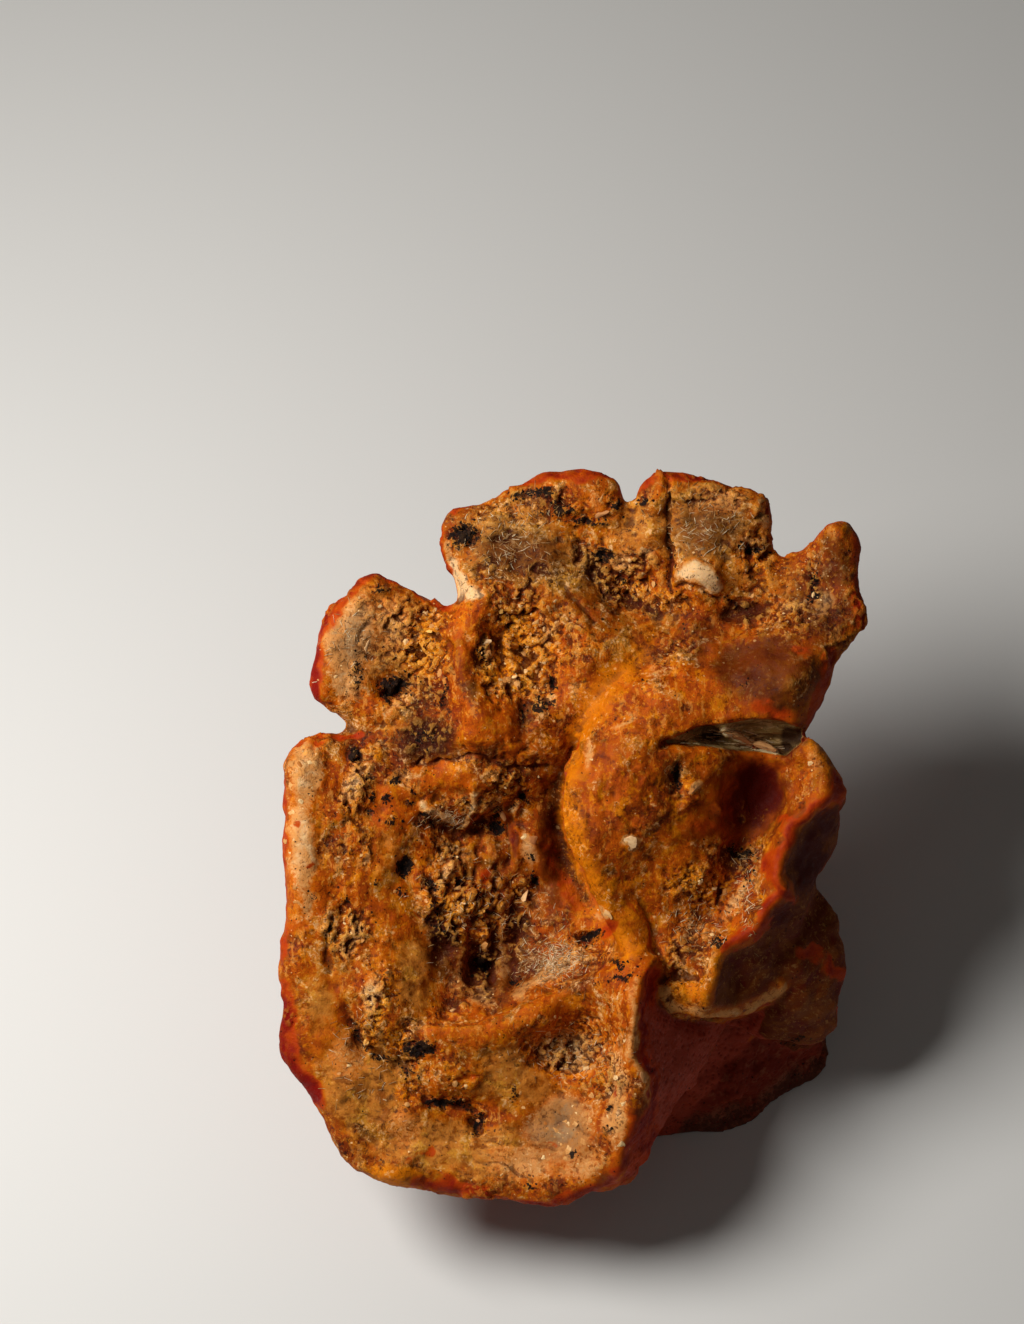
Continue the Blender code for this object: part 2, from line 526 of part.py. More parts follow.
def fused_skin():
    """The lobes and the stem fused into one closed skin of even, small faces."""
    body = bmesh.new()
    lobes = (
        lobe_mesh(CROWN_OUTLINE, CROWN_SPOTS, CROWN_MARGIN, CROWN_BODY, CROWN_BODY_REACH),
        lobe_mesh(RIGHT_OUTLINE, RIGHT_SPOTS, RIGHT_MARGIN, RIGHT_BODY, RIGHT_BODY_REACH),
        lobe_mesh(SWELLING_OUTLINE, SWELLING_SPOTS, SWELLING_MARGIN, SWELLING_BODY,
                  SWELLING_BODY_REACH),
    )
    for vertices, faces in lobes:
        mesh = bpy.data.meshes.new("lobe")
        mesh.from_pydata(vertices, [], faces)
        body.from_mesh(mesh)
        bpy.data.meshes.remove(mesh)
    for mesh in (stem_mesh(), rope_mesh(WALL_ROPE), rope_mesh(WALL_FILL)):
        body.from_mesh(mesh)
        bpy.data.meshes.remove(mesh)
    mesh = bpy.data.meshes.new("lobes and stem")
    body.to_mesh(mesh)
    body.free()

    skin = bpy.data.objects.new("skin", mesh)
    bpy.context.scene.collection.objects.link(skin)
    fuse = skin.modifiers.new("Fuse", "REMESH")
    fuse.mode = "VOXEL"
    fuse.voxel_size = SKIN_STEP
    soften = skin.modifiers.new("Soften", "SMOOTH")
    soften.factor = SMOOTHING_STRENGTH
    soften.iterations = SKIN_SMOOTHING
    fused = evaluated_mesh(skin)
    bpy.data.objects.remove(skin, do_unlink=True)
    bpy.data.meshes.remove(mesh)
    return fused


def facing_shares(mesh, points, normals):
    """How far each vertex belongs to the upper side: 1 where it can be seen, 0 where not."""
    mesh.calc_loop_triangles()
    triangles = [tuple(triangle.vertices) for triangle in mesh.loop_triangles]
    tree = BVHTree.FromPolygons([tuple(point) for point in points], triangles)
    seen = np.zeros(len(points))
    down = Vector((0.0, 0.0, -1.0))
    for index, (u, v, w) in enumerate(points):
        hit = tree.ray_cast(Vector((u, v, LOOK_HEIGHT)), down)[0]
        if hit is not None and hit.z - w < COVER_DEPTH:
            seen[index] = 1.0
    return seen * smooth_step((normals[:, 2] - FACING_START) / FACING_RANGE)


def line_swell(points, line, half_width):
    """1 along a line of straight segments, falling to 0 past its half width."""
    distance = segment_distance(points[:, :2], line, False)
    return np.exp(-HALF_FALL * (distance / half_width) ** 2)


def dab(points, u, v, half_u, half_v, sharpness):
    """A round patch with the value 1 in the middle that falls to 0 past its half widths."""
    reach = ((points[:, 0] - u) / half_u) ** 2 + ((points[:, 1] - v) / half_v) ** 2
    return np.exp(-HALF_FALL * reach ** sharpness)


def press_details(mesh):
    """Ridges, grooves, pits, lumps and the tear on top, and blunt folds underneath."""
    count = len(mesh.vertices)
    points = np.empty(count * 3)
    normals = np.empty(count * 3)
    mesh.vertices.foreach_get("co", points)
    mesh.vertices.foreach_get("normal", normals)
    points = points.reshape(-1, 3)
    normals = normals.reshape(-1, 3)
    facing = facing_shares(mesh, points, normals)

    rise = np.zeros(count)
    for line, half_width, height in RIDGES:
        rise += height * line_swell(points, line, half_width)
    for line, half_width, depth in GROOVES:
        rise -= depth * line_swell(points, line, half_width)
    for u, v, half_u, half_v, height, sharpness in LUMPS:
        rise += height * dab(points, u, v, half_u, half_v, sharpness)
    for u, v, half_u, half_v, depth, sharpness in PITS:
        rise -= depth * dab(points, u, v, half_u, half_v, sharpness)

    upper = np.interp(points[:, 0], *zip(*TEAR_UPPER_EDGE), left=0.0, right=0.0)
    lower = np.interp(points[:, 0], *zip(*TEAR_LOWER_EDGE), left=1.0, right=1.0)
    down = (upper - points[:, 1]) / (upper - lower)
    within = smooth_step(down / TEAR_EDGE) * smooth_step((1.0 - down) / TEAR_EDGE)
    slope = TEAR_SLOPE + (1.0 - TEAR_SLOPE) * np.clip(down, 0.0, 1.0)
    u, v, half_u, half_v, depth, sharpness = TEAR_HOLE
    hole = depth * dab(points, u, v, half_u, half_v, sharpness)
    rise -= np.where(upper > lower, within * (TEAR_DEPTH * slope + hole), 0.0)
    points[:, 2] += rise * facing

    lumps = [noise.fractal(Vector(point) / LUMP_SIZE, 1.0, 2.0, LUMP_OCTAVES) for point in points]
    points += normals * (LUMP_HEIGHT * np.array(lumps))[:, None]

    # The folds under the cap run out from the stem and fade before the margin.
    out_u = points[:, 0] - UNDER_FOLD_CENTRE[0]
    out_v = points[:, 1] - UNDER_FOLD_CENTRE[1]
    radius = np.hypot(out_u, out_v)
    angle = np.arctan2(out_v, out_u)
    fade = smooth_step((radius - UNDER_FOLD_INNER) / UNDER_FOLD_INNER_FADE)
    fade *= 1.0 - smooth_step((radius - UNDER_FOLD_OUTER) / UNDER_FOLD_OUTER_FADE)
    wander = UNDER_FOLD_WANDER * np.sin(UNDER_FOLD_WANDERS * angle) + UNDER_FOLD_TWIST * radius
    wave = np.cos(UNDER_FOLDS * angle + wander)
    under = smooth_step((-normals[:, 2] - UNDER_SIDE_START) / UNDER_SIDE_RANGE)
    points -= normals * (UNDER_FOLD_HEIGHT * (wave * fade * under))[:, None]

    mesh.vertices.foreach_set("co", points.ravel())
    mesh.update()
    return facing


def crust_material():
    material = bpy.data.materials.new("crust")
    material.use_nodes = True
    shader = material.node_tree.nodes["Principled BSDF"]
    shader.inputs["Base Color"].default_value = CRUST_COLOUR
    shader.inputs["Roughness"].default_value = CRUST_ROUGHNESS
    return material


def make_mushroom():
    mesh = fused_skin()
    facing = press_details(mesh)
    mushroom = bpy.data.objects.new("mushroom", mesh)
    bpy.context.scene.collection.objects.link(mushroom)
    hidden = mushroom.vertex_groups.new(name="hidden side")
    for index, share in enumerate(facing):
        hidden.add([index], 1.0 - SEEN_PROTECTION * share, "REPLACE")
    thin = mushroom.modifiers.new("Thin out", "DECIMATE")
    thin.ratio = TRIANGLE_SHARE
    thin.use_collapse_triangulate = True
    thin.vertex_group = hidden.name
    thin.vertex_group_factor = HIDDEN_THINNING
    thinned = evaluated_mesh(mushroom)
    mushroom.modifiers.clear()
    mushroom.vertex_groups.clear()
    mushroom.data = thinned

    points = np.empty(len(thinned.vertices) * 3)
    thinned.vertices.foreach_get("co", points)
    thinned.vertices.foreach_set("co", place(points.reshape(-1, 3)).ravel())

    # The stem is cut off flat at the ground.
    body = bmesh.new()
    body.from_mesh(thinned)
    cut = bmesh.ops.bisect_plane(
        body, geom=body.verts[:] + body.edges[:] + body.faces[:],
        plane_co=(0.0, 0.0, 0.0), plane_no=(0.0, 0.0, -1.0), clear_outer=True,
    )
    rim = [edge for edge in cut["geom_cut"] if isinstance(edge, bmesh.types.BMEdge)]
    for vertex in {vertex for edge in rim for vertex in edge.verts}:
        vertex.co.z = 0.0
    bmesh.ops.contextual_create(body, geom=rim)
    bmesh.ops.remove_doubles(body, verts=body.verts, dist=MERGE_DISTANCE)
    bmesh.ops.triangulate(body, faces=body.faces)
    bmesh.ops.recalc_face_normals(body, faces=body.faces)

    body.to_mesh(thinned)
    body.free()
    thinned.shade_smooth()
    thinned.materials.clear()
    thinned.materials.append(crust_material())


clear_scene()
make_mushroom()
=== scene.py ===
# Lobster mushroom, how it looks: a folded orange cap and a stout stem, cut off at the ground.
# The skin is sculpted in millimetres as the cap is seen from the front (u right, v up,
# w towards the eye) and is then stood up in metres.
import itertools
import math

import bmesh
import bpy
import numpy as np
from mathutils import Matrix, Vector
from mathutils.bvhtree import BVHTree


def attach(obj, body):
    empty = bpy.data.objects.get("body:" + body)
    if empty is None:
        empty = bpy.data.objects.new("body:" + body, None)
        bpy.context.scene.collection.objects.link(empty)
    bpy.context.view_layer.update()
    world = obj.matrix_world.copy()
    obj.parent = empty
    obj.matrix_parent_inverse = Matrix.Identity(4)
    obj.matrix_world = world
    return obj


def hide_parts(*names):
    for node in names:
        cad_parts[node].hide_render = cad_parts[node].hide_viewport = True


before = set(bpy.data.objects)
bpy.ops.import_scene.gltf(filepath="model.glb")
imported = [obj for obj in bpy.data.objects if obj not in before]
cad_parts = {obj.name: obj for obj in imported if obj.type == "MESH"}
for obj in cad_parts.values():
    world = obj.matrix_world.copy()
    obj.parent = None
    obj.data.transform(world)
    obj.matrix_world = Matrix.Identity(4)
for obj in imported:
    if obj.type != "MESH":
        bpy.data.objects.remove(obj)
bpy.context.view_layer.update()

eye = {
    "distance": 802.0,          # from the eye to the plane w = 0, mm
    "u": -8.7,                  # where the eye stands over that plane, mm
    "v": 32.4,
    "elevation": 60.0,          # degrees above the horizon
    "groundDrop": 60.0,         # the cut of the stem under the plane's middle, mm
    "castFrom": 200.0,          # where rays that look for the skin start over that plane, mm
    "capMiddle": (2.3, 2.2),    # the frame's origin, mm
    "pixelsPerMm": 5.5,
    "imageHeight": 1324,
    "sensor": 36.0,             # mm
}
sinTilt = math.sin(math.radians(eye["elevation"]))
cosTilt = math.cos(math.radians(eye["elevation"]))


def toDrawn(standing):
    # metres as it stands to millimetres as it is seen
    x = standing[:, 0] * 1000.0 + eye["capMiddle"][0]
    y = standing[:, 1] * 1000.0 + eye["capMiddle"][1]
    z = standing[:, 2] * 1000.0 - eye["groundDrop"]
    v = y * sinTilt + z * cosTilt
    w = z * sinTilt - y * cosTilt
    widening = (eye["distance"] - w) / eye["distance"]
    return np.column_stack([
        eye["u"] + (x - eye["u"]) / widening, eye["v"] + (v - eye["v"]) / widening, w,
    ])


def toStanding(drawn):
    # the way back, to metres
    widening = (eye["distance"] - drawn[:, 2]) / eye["distance"]
    u = eye["u"] + (drawn[:, 0] - eye["u"]) * widening
    v = eye["v"] + (drawn[:, 1] - eye["v"]) * widening
    y = v * sinTilt - drawn[:, 2] * cosTilt
    z = v * cosTilt + drawn[:, 2] * sinTilt + eye["groundDrop"]
    return np.column_stack([u - eye["capMiddle"][0], y - eye["capMiddle"][1], z]) * 0.001


def addCamera():
    place = toStanding(np.array([[eye["u"], eye["v"], eye["distance"]]]))[0]
    bpy.ops.object.camera_add(
        location=place, rotation=(math.radians(90.0 - eye["elevation"]), 0.0, 0.0))
    camera = bpy.context.object
    camera.data.sensor_width = eye["sensor"]
    camera.data.lens = (
        eye["distance"] * eye["pixelsPerMm"] / eye["imageHeight"] * eye["sensor"])
    camera.data.clip_end = 20.0
    bpy.context.scene.camera = camera


# Noise and patterns for the sculpting, all from hashed whole numbers, so every run is the same.

def hashed(cells, salt):
    n = (cells[..., 0] * 73856093) ^ (cells[..., 1] * 19349663) ^ (cells[..., 2] * 83492791)
    n = (n ^ (salt * 2654435761)) & 0xffffffff
    n = ((n ^ (n >> 15)) * 2246822519) & 0xffffffff
    n = ((n ^ (n >> 13)) * 3266489917) & 0xffffffff
    return ((n ^ (n >> 16)) & 0xffff) / 65535.0


def softNoise(points, size, salt):
    # smooth bumps of about the given size, from -1 to 1
    grid = points / size
    base = np.floor(grid).astype(np.int64)
    part = grid - base
    part = part * part * (3.0 - 2.0 * part)
    total = np.zeros(len(points))
    for corner in itertools.product((0, 1), repeat=3):
        share = np.prod(np.where(corner, part, 1.0 - part), axis=1)
        total += share * hashed(base + np.array(corner), salt)
    return total * 2.0 - 1.0


def layeredNoise(points, size, salt, octaves=3, gain=0.5):
    total = np.zeros(len(points))
    for octave in range(octaves):
        total += gain ** octave * softNoise(points, size / 2.0 ** octave, salt + octave)
    return total


def noiseShift(points, size, salt):
    # three noises side by side, to bend a pattern with
    return np.column_stack([softNoise(points, size, salt + k) for k in range(3)])


def chips(points, size, salt):
    # a pattern of broken chips: distance to the gap round the chip, the chip's whole-number
    # name, and where the point lies from the chip's middle
    grid = points / size
    base = np.floor(grid).astype(np.int64)
    nearest = np.full(len(points), 9.0)
    second = nearest.copy()
    owner = np.zeros_like(base)
    offset = np.zeros_like(points)
    for shift in itertools.product((-1, 0, 1), repeat=3):
        cell = base + np.array(shift)
        seed = cell + np.column_stack([hashed(cell, salt + axis) for axis in range(3)])
        reach = grid - seed
        gap = np.sqrt((reach * reach).sum(axis=1))
        nearer = gap < nearest
        second = np.where(nearer, nearest, np.minimum(second, gap))
        owner[nearer] = cell[nearer]
        offset[nearer] = reach[nearer]
        nearest = np.where(nearer, gap, nearest)
    return (second - nearest) * size, owner, offset * size


def smoothStep(value):
    value = np.clip(value, 0.0, 1.0)
    return value * value * (3.0 - 2.0 * value)


def lineGap(points, line):
    # shortest distance to a line of straight runs, seen from the front
    spots = np.array(line, dtype=float)
    nearest = np.full(len(points), np.inf)
    for start, end in zip(spots[:-1], spots[1:]):
        run = end - start
        along = np.clip(((points[:, :2] - start) @ run) / (run @ run), 0.0, 1.0)
        gap = np.linalg.norm(points[:, :2] - start - along[:, None] * run, axis=1)
        nearest = np.minimum(nearest, gap)
    return nearest


def insideLoop(points, loop):
    inside = np.zeros(len(points), dtype=bool)
    for (u0, v0), (u1, v1) in zip(loop, loop[1:] + loop[:1]):
        if v0 == v1:
            continue
        spans = (v0 > points[:, 1]) != (v1 > points[:, 1])
        crossing = u0 + (points[:, 1] - v0) * (u1 - u0) / (v1 - v0)
        inside ^= spans & (points[:, 0] < crossing)
    return inside


def dab(points, u, v, halfU, halfV, turn=0.0, sharpness=1.3):
    # 1 in the middle of an oval patch, half way down at its half widths
    angle = math.radians(turn)
    across = (points[:, 0] - u) * math.cos(angle) + (points[:, 1] - v) * math.sin(angle)
    up = (points[:, 1] - v) * math.cos(angle) - (points[:, 0] - u) * math.sin(angle)
    return np.exp(-0.7 * ((across / halfU) ** 2 + (up / halfV) ** 2) ** sharpness)


def stroke(points, line, halfWidth):
    return np.exp(-0.7 * (lineGap(points, line) / halfWidth) ** 2)


# Where each finish lies, seen from the front. Patches: u, v, half u, half v, turn, strength.
# Strokes: the line, its half width, strength.
foldLine = (
    (14.9, 33.6), (10, 30), (6.6, 25), (4.3, 20), (2.6, 15), (1.4, 10), (1.2, 5), (1.8, 0.5),
    (3.6, -4.5), (6.6, -10), (10, -15.5), (13, -19.5),
)
rimLine = (
    (51.6, 9.1), (46.4, 5.9), (44.5, 4.5), (41.8, 3.2), (41.1, 0), (39.5, -4), (39.3, -7.3),
    (41.8, -10), (37.3, -12.7), (35.5, -16.4), (30, -19.1),
)
rimFoot = (
    (30, -19.1), (28.2, -21.8), (27.4, -25), (26.4, -29.4),
)
creaseLine = (
    (10.5, -5), (12.7, -9), (15, -14.5), (16.4, -18), (16, -22),
)
plateRim = (
    (16, -22), (14.2, -25.5), (13.6, -30), (13, -34.5), (12.7, -39.4), (15.5, -43), (16, -46.7),
    (14.2, -51), (11.8, -54.5), (10, -61),
)
pinkWall = [
    (16.6, -22), (15.2, -25.5), (14.8, -30), (14.2, -34.5), (13.8, -39.4), (16.6, -43), (17, -46.7),
    (15.4, -51), (13, -54.5), (11, -62), (16.5, -60), (20, -54), (25, -48), (30.5, -41.5),
    (36, -34.5), (37.5, -30.5), (30, -33.6), (21, -32.6), (17.4, -28.6),
]
stemFront = [
    (16.5, -62), (16.5, -60), (20, -54), (25, -48), (30.5, -41.5), (36, -35), (42, -38),
    (50, -36.5), (62, -36), (62, -62),
]
topCrack = (
    (19.8, 65.5), (19.4, 59.5), (19.8, 57.5), (19.6, 53.8), (20.5, 50.5), (19.8, 47), (20.4, 45),
)
lipLine = (
    (18.2, -27.2), (19, -29.4), (22, -31.2), (28, -32), (33, -31.3), (37.4, -29), (40.4, -26.4),
)
outerWall = [
    (53, 9), (47.2, 4.6), (44.8, 2.6), (42.6, 0), (41, -4.6), (41.6, -7.4), (43, -10.2),
    (38.4, -14), (36.4, -17.8), (31, -20.6), (29.4, -23.4), (28.6, -26.6), (27, -31), (30, -33.6),
    (45, -40), (60, -30), (60, 9),
]

patches = {
    "cream": [   # dried pale flesh where the crust is worn off
        (-46.6, 12, 2.6, 7, 0, 0.95), (-47, -1, 2.4, 8.5, 0, 1.05), (-46, -11, 1.6, 4, 0, 0.7),
        (-37.5, 10, 1.5, 3.4, -8, 1), (-38.2, 37, 4.2, 7.6, -14, 0.95),
        (-38.6, 29.5, 3.2, 4, 0, 0.9), (-31, 39.5, 3.2, 4, 0, 0.7), (-30.5, 24.5, 3, 1, 10, 0.7),
        (0.5, -52.6, 6, 5.6, 10, 1), (-6, -58.5, 6.5, 3, 0, 0.7), (4.5, -59, 4, 3, 25, 0.7),
        (10.2, -47, 2.2, 9, 0, 0.95), (47.6, 43.4, 2, 2.6, 10, 1), (43.6, 33.2, 2.6, 0.7, 12, 0.5),
        (42.6, 42.4, 2.6, 1.4, 20, 0.75), (-6, -1.2, 1.9, 3.2, 20, 0.95),
        (-7.7, 5.6, 0.7, 1.4, -24, 1.1), (-6.6, -9.6, 1.5, 1.6, 20, 0.7),
        (5.4, 15.4, 1, 3.4, 8, 0.75), (12, -0.5, 1.7, 1.1, 0, 1.2), (12, 21.6, 2.6, 0.7, 30, 0.7),
        (8, -13.5, 2, 1.3, -30, 0.9), (32.4, -10.5, 1.3, 4.6, -36, 0.85),
        (24.5, -16.5, 4.5, 3, 0, 0.45), (-38, -17.3, 1.8, 3.6, -10, 0.95),
        (-14, -28.4, 3.2, 1.8, 10, 0.75), (-18.2, -24.5, 1, 3.6, 0, 0.65),
        (-10.4, -22.5, 1, 4.6, 0, 0.6), (-10.8, -15.6, 0.8, 2.2, 0, 0.7),
        (-34, -28.5, 1.4, 4.4, -16, 1), (-20.3, -5, 1.1, 3.4, -34, 0.8),
        (-35, -3.4, 0.5, 2, -12, 0.8), (37.2, 60, 1, 3.6, 0, 0.9), (-29, -52, 4.5, 3.5, -20, 0.5),
        (-38.5, -40, 3.2, 5.5, 10, 0.5), (17.5, 30, 1.8, 1.4, 0, 0.55),
        (25, 9.6, 1.8, 0.7, 35, 0.9), (11.5, 50.4, 2.6, 1.8, -30, 0.75),
        (16, 52.2, 1.6, 1.2, 0, 0.7), (7, 62, 2.6, 1.8, 0, 0.5), (29, 61.5, 5, 2.4, 0, 0.6),
        (46.4, 15, 1.5, 4, -16, 0.5), (13, -2, 0.9, 0.9, 0, 0.8), (1.5, -38.4, 7, 3.4, -8, 0.95),
        (-9.5, 59.8, 2.4, 1.2, 10, 0.4), (-31, -3, 3, 8, 0, 0.25), (34, 54.6, 2.6, 0.9, -8, 0.7),
        (-13.6, 33.8, 0.9, 2.4, 12, 0.9), (-9.6, 29.2, 2, 1.2, 20, 0.8),
        (-2, 37.4, 1.2, 3, -30, 0.8), (-2.2, 26, 1.2, 0.6, 0, 0.9),
    ],
    "gold": [   # golden crumbly crust
        (-7.5, 33.5, 7.6, 8.4, 0, 0.85), (-13.2, 32.5, 2.2, 5, 8, 1.1),
        (-8.6, 28.8, 4.4, 2.6, 0, 1.15), (-8, 40.4, 3.6, 2.4, 0, 1.1),
        (-2.6, 36.2, 2.2, 4.4, -20, 1.1), (-24.6, 35, 4, 5.4, 15, 1.05),
        (-23.5, 41, 3.2, 2.4, 0, 0.7), (-38, -17.3, 2.2, 4.2, -8, 0.9),
        (-33.2, -30.5, 2, 6.8, -16, 1.25), (-29.5, -36.5, 2, 2.6, -20, 1),
        (1.5, -38.8, 8, 4.2, -8, 1.1), (9, -42.5, 2.6, 3.4, 0, 0.9), (-17.5, -43.5, 3, 2, 0, 1.1),
        (-16.5, -12, 8, 2.6, -6, 0.95), (-20.5, -5.6, 2.6, 3.4, -20, 0.7),
        (-6.6, -8.4, 2.4, 2.4, 0, 0.75), (-22, -3.6, 1.6, 1.4, 0, 0.8), (24, 10.5, 2, 1.8, 0, 0.8),
        (24.5, -7.5, 6, 3.6, -10, 0.9), (-37.6, 9.4, 1.8, 4.2, -8, 0.75),
        (-35.4, -3.6, 0.9, 2.4, -8, 0.8), (13, 46.2, 4.4, 2, -15, 0.8), (20, 43, 3.2, 2.2, 0, 0.8),
        (42, 40.5, 4.2, 2.4, 0, 0.6), (-28, -46, 2.4, 1.8, 0, 0.7), (23.5, -16, 4.6, 3.4, 0, 0.4),
        (-45.5, 16.4, 3, 1.8, 0, 0.5), (-10, 10.4, 4, 2.4, 0, 0.5), (36, 50.5, 3.4, 3, 0, 0.5),
        (8.5, -21.5, 3, 2, 0, 0.4), (-17.6, -17.2, 0.9, 2, 0, 0.9),
        (-13.8, -17.6, 1.1, 2.2, 0, 0.8),
    ],
    "soil": [   # black forest soil
        (-30, 27.6, 3, 1.9, 28, 1.25), (-37.2, 32, 0.9, 2, -20, 0.8), (-36.5, 29, 1.2, 1, 0, 0.8),
        (-33, 45.4, 1.2, 1, 0, 0.9), (-37.5, 15, 1.2, 1.2, 0, 1.2), (-28, -5, 1.3, 1.7, 0, 1.25),
        (-28.6, -9.5, 0.9, 0.8, 0, 0.9), (-23.6, -8.2, 1.6, 1.2, 15, 0.9),
        (-15, -9.6, 0.9, 0.9, 0, 1.1), (-12.8, -11.8, 0.9, 0.9, 0, 0.8),
        (-12, 2.4, 1.4, 1.3, 0, 1.1), (-11.2, 5.2, 1.3, 1.1, 20, 1.1), (-6.4, 8, 1.1, 0.9, 30, 1.1),
        (-5, -3, 0.6, 0.6, 0, 1.2), (-5, -6.6, 0.9, 0.8, 0, 1.1), (-18.4, -7.6, 0.8, 0.8, 0, 1.1),
        (-36.4, 31.4, 1.4, 1.4, 30, 0.8), (-3.4, 63, 3.4, 1.1, 5, 0.9), (-8, 62, 2, 0.7, 0, 0.85),
        (15.6, 61.8, 1.3, 0.6, 0, 1.1), (45.8, 45, 0.9, 1.1, 0, 1.1),
        (-21, -15.5, 2.4, 1.1, 0, 0.7), (-14, -22.5, 1.9, 1.5, 0, 1.2),
        (-7.9, -25.6, 1.1, 0.8, 0, 1.15), (5.4, -17.8, 2.1, 1.1, 32, 1.25),
        (10.5, -25, 4.6, 0.7, 18, 0.9), (-28, -38, 1.2, 0.9, 0, 0.9),
        (-25.5, -38.6, 2.2, 1.5, 0, 1.1), (-28.4, -42, 1.3, 1.4, 0, 0.8),
        (-20.8, -47.8, 4.2, 0.8, 4, 1.1), (-15.2, -51.6, 0.9, 2, -20, 1),
        (-37.5, -34.5, 0.8, 2.4, 20, 0.8), (-33, -39.6, 3, 0.6, -28, 0.8),
        (-17.4, 55.2, 2.8, 2.4, 0, 1.05), (-2.6, 63, 1.1, 0.9, 0, 0.8),
        (0.5, 60.4, 2.6, 1.3, -12, 1), (5.2, 58.3, 4, 0.6, 3, 1), (10.6, 61.2, 1.1, 1.1, 0, 1),
        (16, 62, 1.2, 0.7, 0, 0.9), (46.5, 47.8, 1.4, 1.2, 30, 1),
        (35.4, 52.8, 2.6, 0.9, -10, 0.95), (21.2, 11.3, 0.9, 2.3, 0, 1.3),
        (32.5, -2, 3, 1.1, -25, 0.9), (34.5, -6, 1.2, 2.2, 0, 0.8),
        (28.6, -18.2, 1.4, 0.9, 15, 1.15), (-1.6, 28.4, 0.7, 1.7, 0, 1.25),
        (-3.4, 25, 1.7, 1, 0, 1), (-6.4, 22.3, 0.6, 2, 0, 0.9), (-14.4, 33.4, 0.8, 2.2, 20, 0.9),
        (8.5, 52, 1.4, 2.4, 25, 0.9), (11.5, 47.4, 1.6, 1.6, 0, 0.8), (-45.3, -10, 1.5, 1, 0, 0.6),
        (42, -36.6, 4, 0.8, 8, 0.8), (11, -22.5, 1.6, 0.8, 15, 0.8),
        (-24.5, 18.5, 2.6, 1.6, 0, 0.7), (2.6, -56.6, 0.8, 0.7, 0, 0.8),
        (-5.4, -62.6, 1.6, 0.6, -15, 0.8), (8.8, -48.4, 0.8, 0.8, 0, 1),
        (-8.4, -46.4, 0.5, 1.2, 20, 0.9), (9.6, -46, 0.5, 0.5, 0, 0.9), (31, 43, 1.6, 1, 0, 0.7),
        (-30.5, 3.5, 1.8, 1, -20, 0.8), (-34, 7.5, 1, 1, 0, 0.8), (33.5, 28, 1.2, 0.9, 0, 0.7),
        (-30.2, 10.7, 1.1, 0.9, 0, 1), (-35, 11.5, 0.8, 0.7, 0, 0.9),
        (-24.7, 4.5, 1.3, 0.8, 20, 0.9), (-31.6, 7.4, 1.1, 0.8, -30, 1.1),
        (-27.2, 6.6, 0.8, 0.8, 0, 1), (-34, 5, 0.8, 0.8, 0, 1), (-22.5, -12, 0.7, 0.8, 0, 0.9),
        (-38.5, -10.7, 0.6, 0.6, 0, 0.9), (-33.5, -7.5, 0.6, 0.8, 0, 0.9),
        (-26, 8.6, 0.7, 0.7, 0, 0.9), (-21.5, 25.5, 0.7, 3.2, -8, 0.7),
        (9, -52.5, 0.7, 0.7, 0, 0.8), (14.5, 28.5, 1, 0.8, 0, 0.6),
    ],
    "burntAndShade": [   # dark broken crust, darkest in the hollows and creases, where it is also painted shade
        (-24.5, 18.6, 4.2, 3, 0, 1.15), (-27.5, 24, 3, 2.4, 0, 0.8), (-14, -8, 8, 6.4, 0, 0.4),
        (-24, -8, 2, 2.4, 0, 0.95), (-21, -17.5, 3.2, 3.6, 0, 0.9),
        (-7.6, -15.6, 2.2, 2.6, 0, 0.95), (-13.6, -20.4, 2.6, 2.6, 0, 0.8),
        (-20, 8, 3.4, 1.6, 12, 0.5), (-11, 8.6, 4, 1.4, -8, 0.5), (0.5, -6, 2.6, 9, 12, 0.55),
        (2, -33.6, 8, 1.1, -6, 0.35), (14.5, 50.5, 4, 2, 0, 0.7), (9, 47, 5, 1.6, -35, 0.8),
        (4, 52.4, 2.4, 2, -40, 0.8), (21.5, 12.5, 3.4, 3.6, 0, 0.7), (12.2, 1.6, 2.6, 2, 0, 0.6),
        (3, 34, 3, 7, 20, 0.5), (-16, 29, 1.2, 5, -8, 0.6), (-17.5, -29.5, 3, 2, 0, 0.5),
        (-27, -57.5, 3.4, 1.8, 20, 0.7), (-36, 1, 1.4, 4, 0, 0.5), (-40.8, -19.5, 0.8, 5, 0, 0.6),
        (8, 18, 2, 4, 20, 0.4), (31, -3, 4.6, 3, -20, 0.8), (24, -20.5, 4, 2, 0, 0.6),
        (33, 41.6, 4.4, 1.6, 10, 0.8), (44, 29, 2, 1.2, 0, 0.5), (-36, -38.5, 2, 3, 0, 0.5),
        (50.5, 33, 3, 6, 0, 0.4), (35.4, 54, 3.4, 1.6, -8, 0.9), (-3, 62, 7, 1.8, 4, 0.7),
        (46, 47.4, 1.4, 3.4, 8, 0.9), (-8, 34.6, 2, 2, 0, 0.4), (-23.5, 27, 2.6, 3, 0, 0.6),
        (-11, 55.4, 3.4, 1.2, 10, 0.8), (-4, 49.4, 3.6, 1.2, -10, 0.8),
        (-13, 50, 1.4, 1.8, 20, 0.75), (0, 54.6, 2, 1, 0, 0.7), (-36, -53, 2.6, 1.2, -40, 0.7),
        (-31.5, -47, 2, 1.2, 20, 0.7), (25, 62.4, 3, 1, 8, 0.7), (30.4, 53, 2.4, 1, 0, 0.7),
        (-39, -46, 1.2, 2.4, 20, 0.6),
    ],
    "brownAndShade": [   # browner areas, and painted shade on slopes and hollows that lie away from the light
        (38, 31, 8.6, 6, 0, 1.5), (33.5, 41.4, 5, 1.8, 10, 1.2), (26, 35, 3, 4, -30, 0.8),
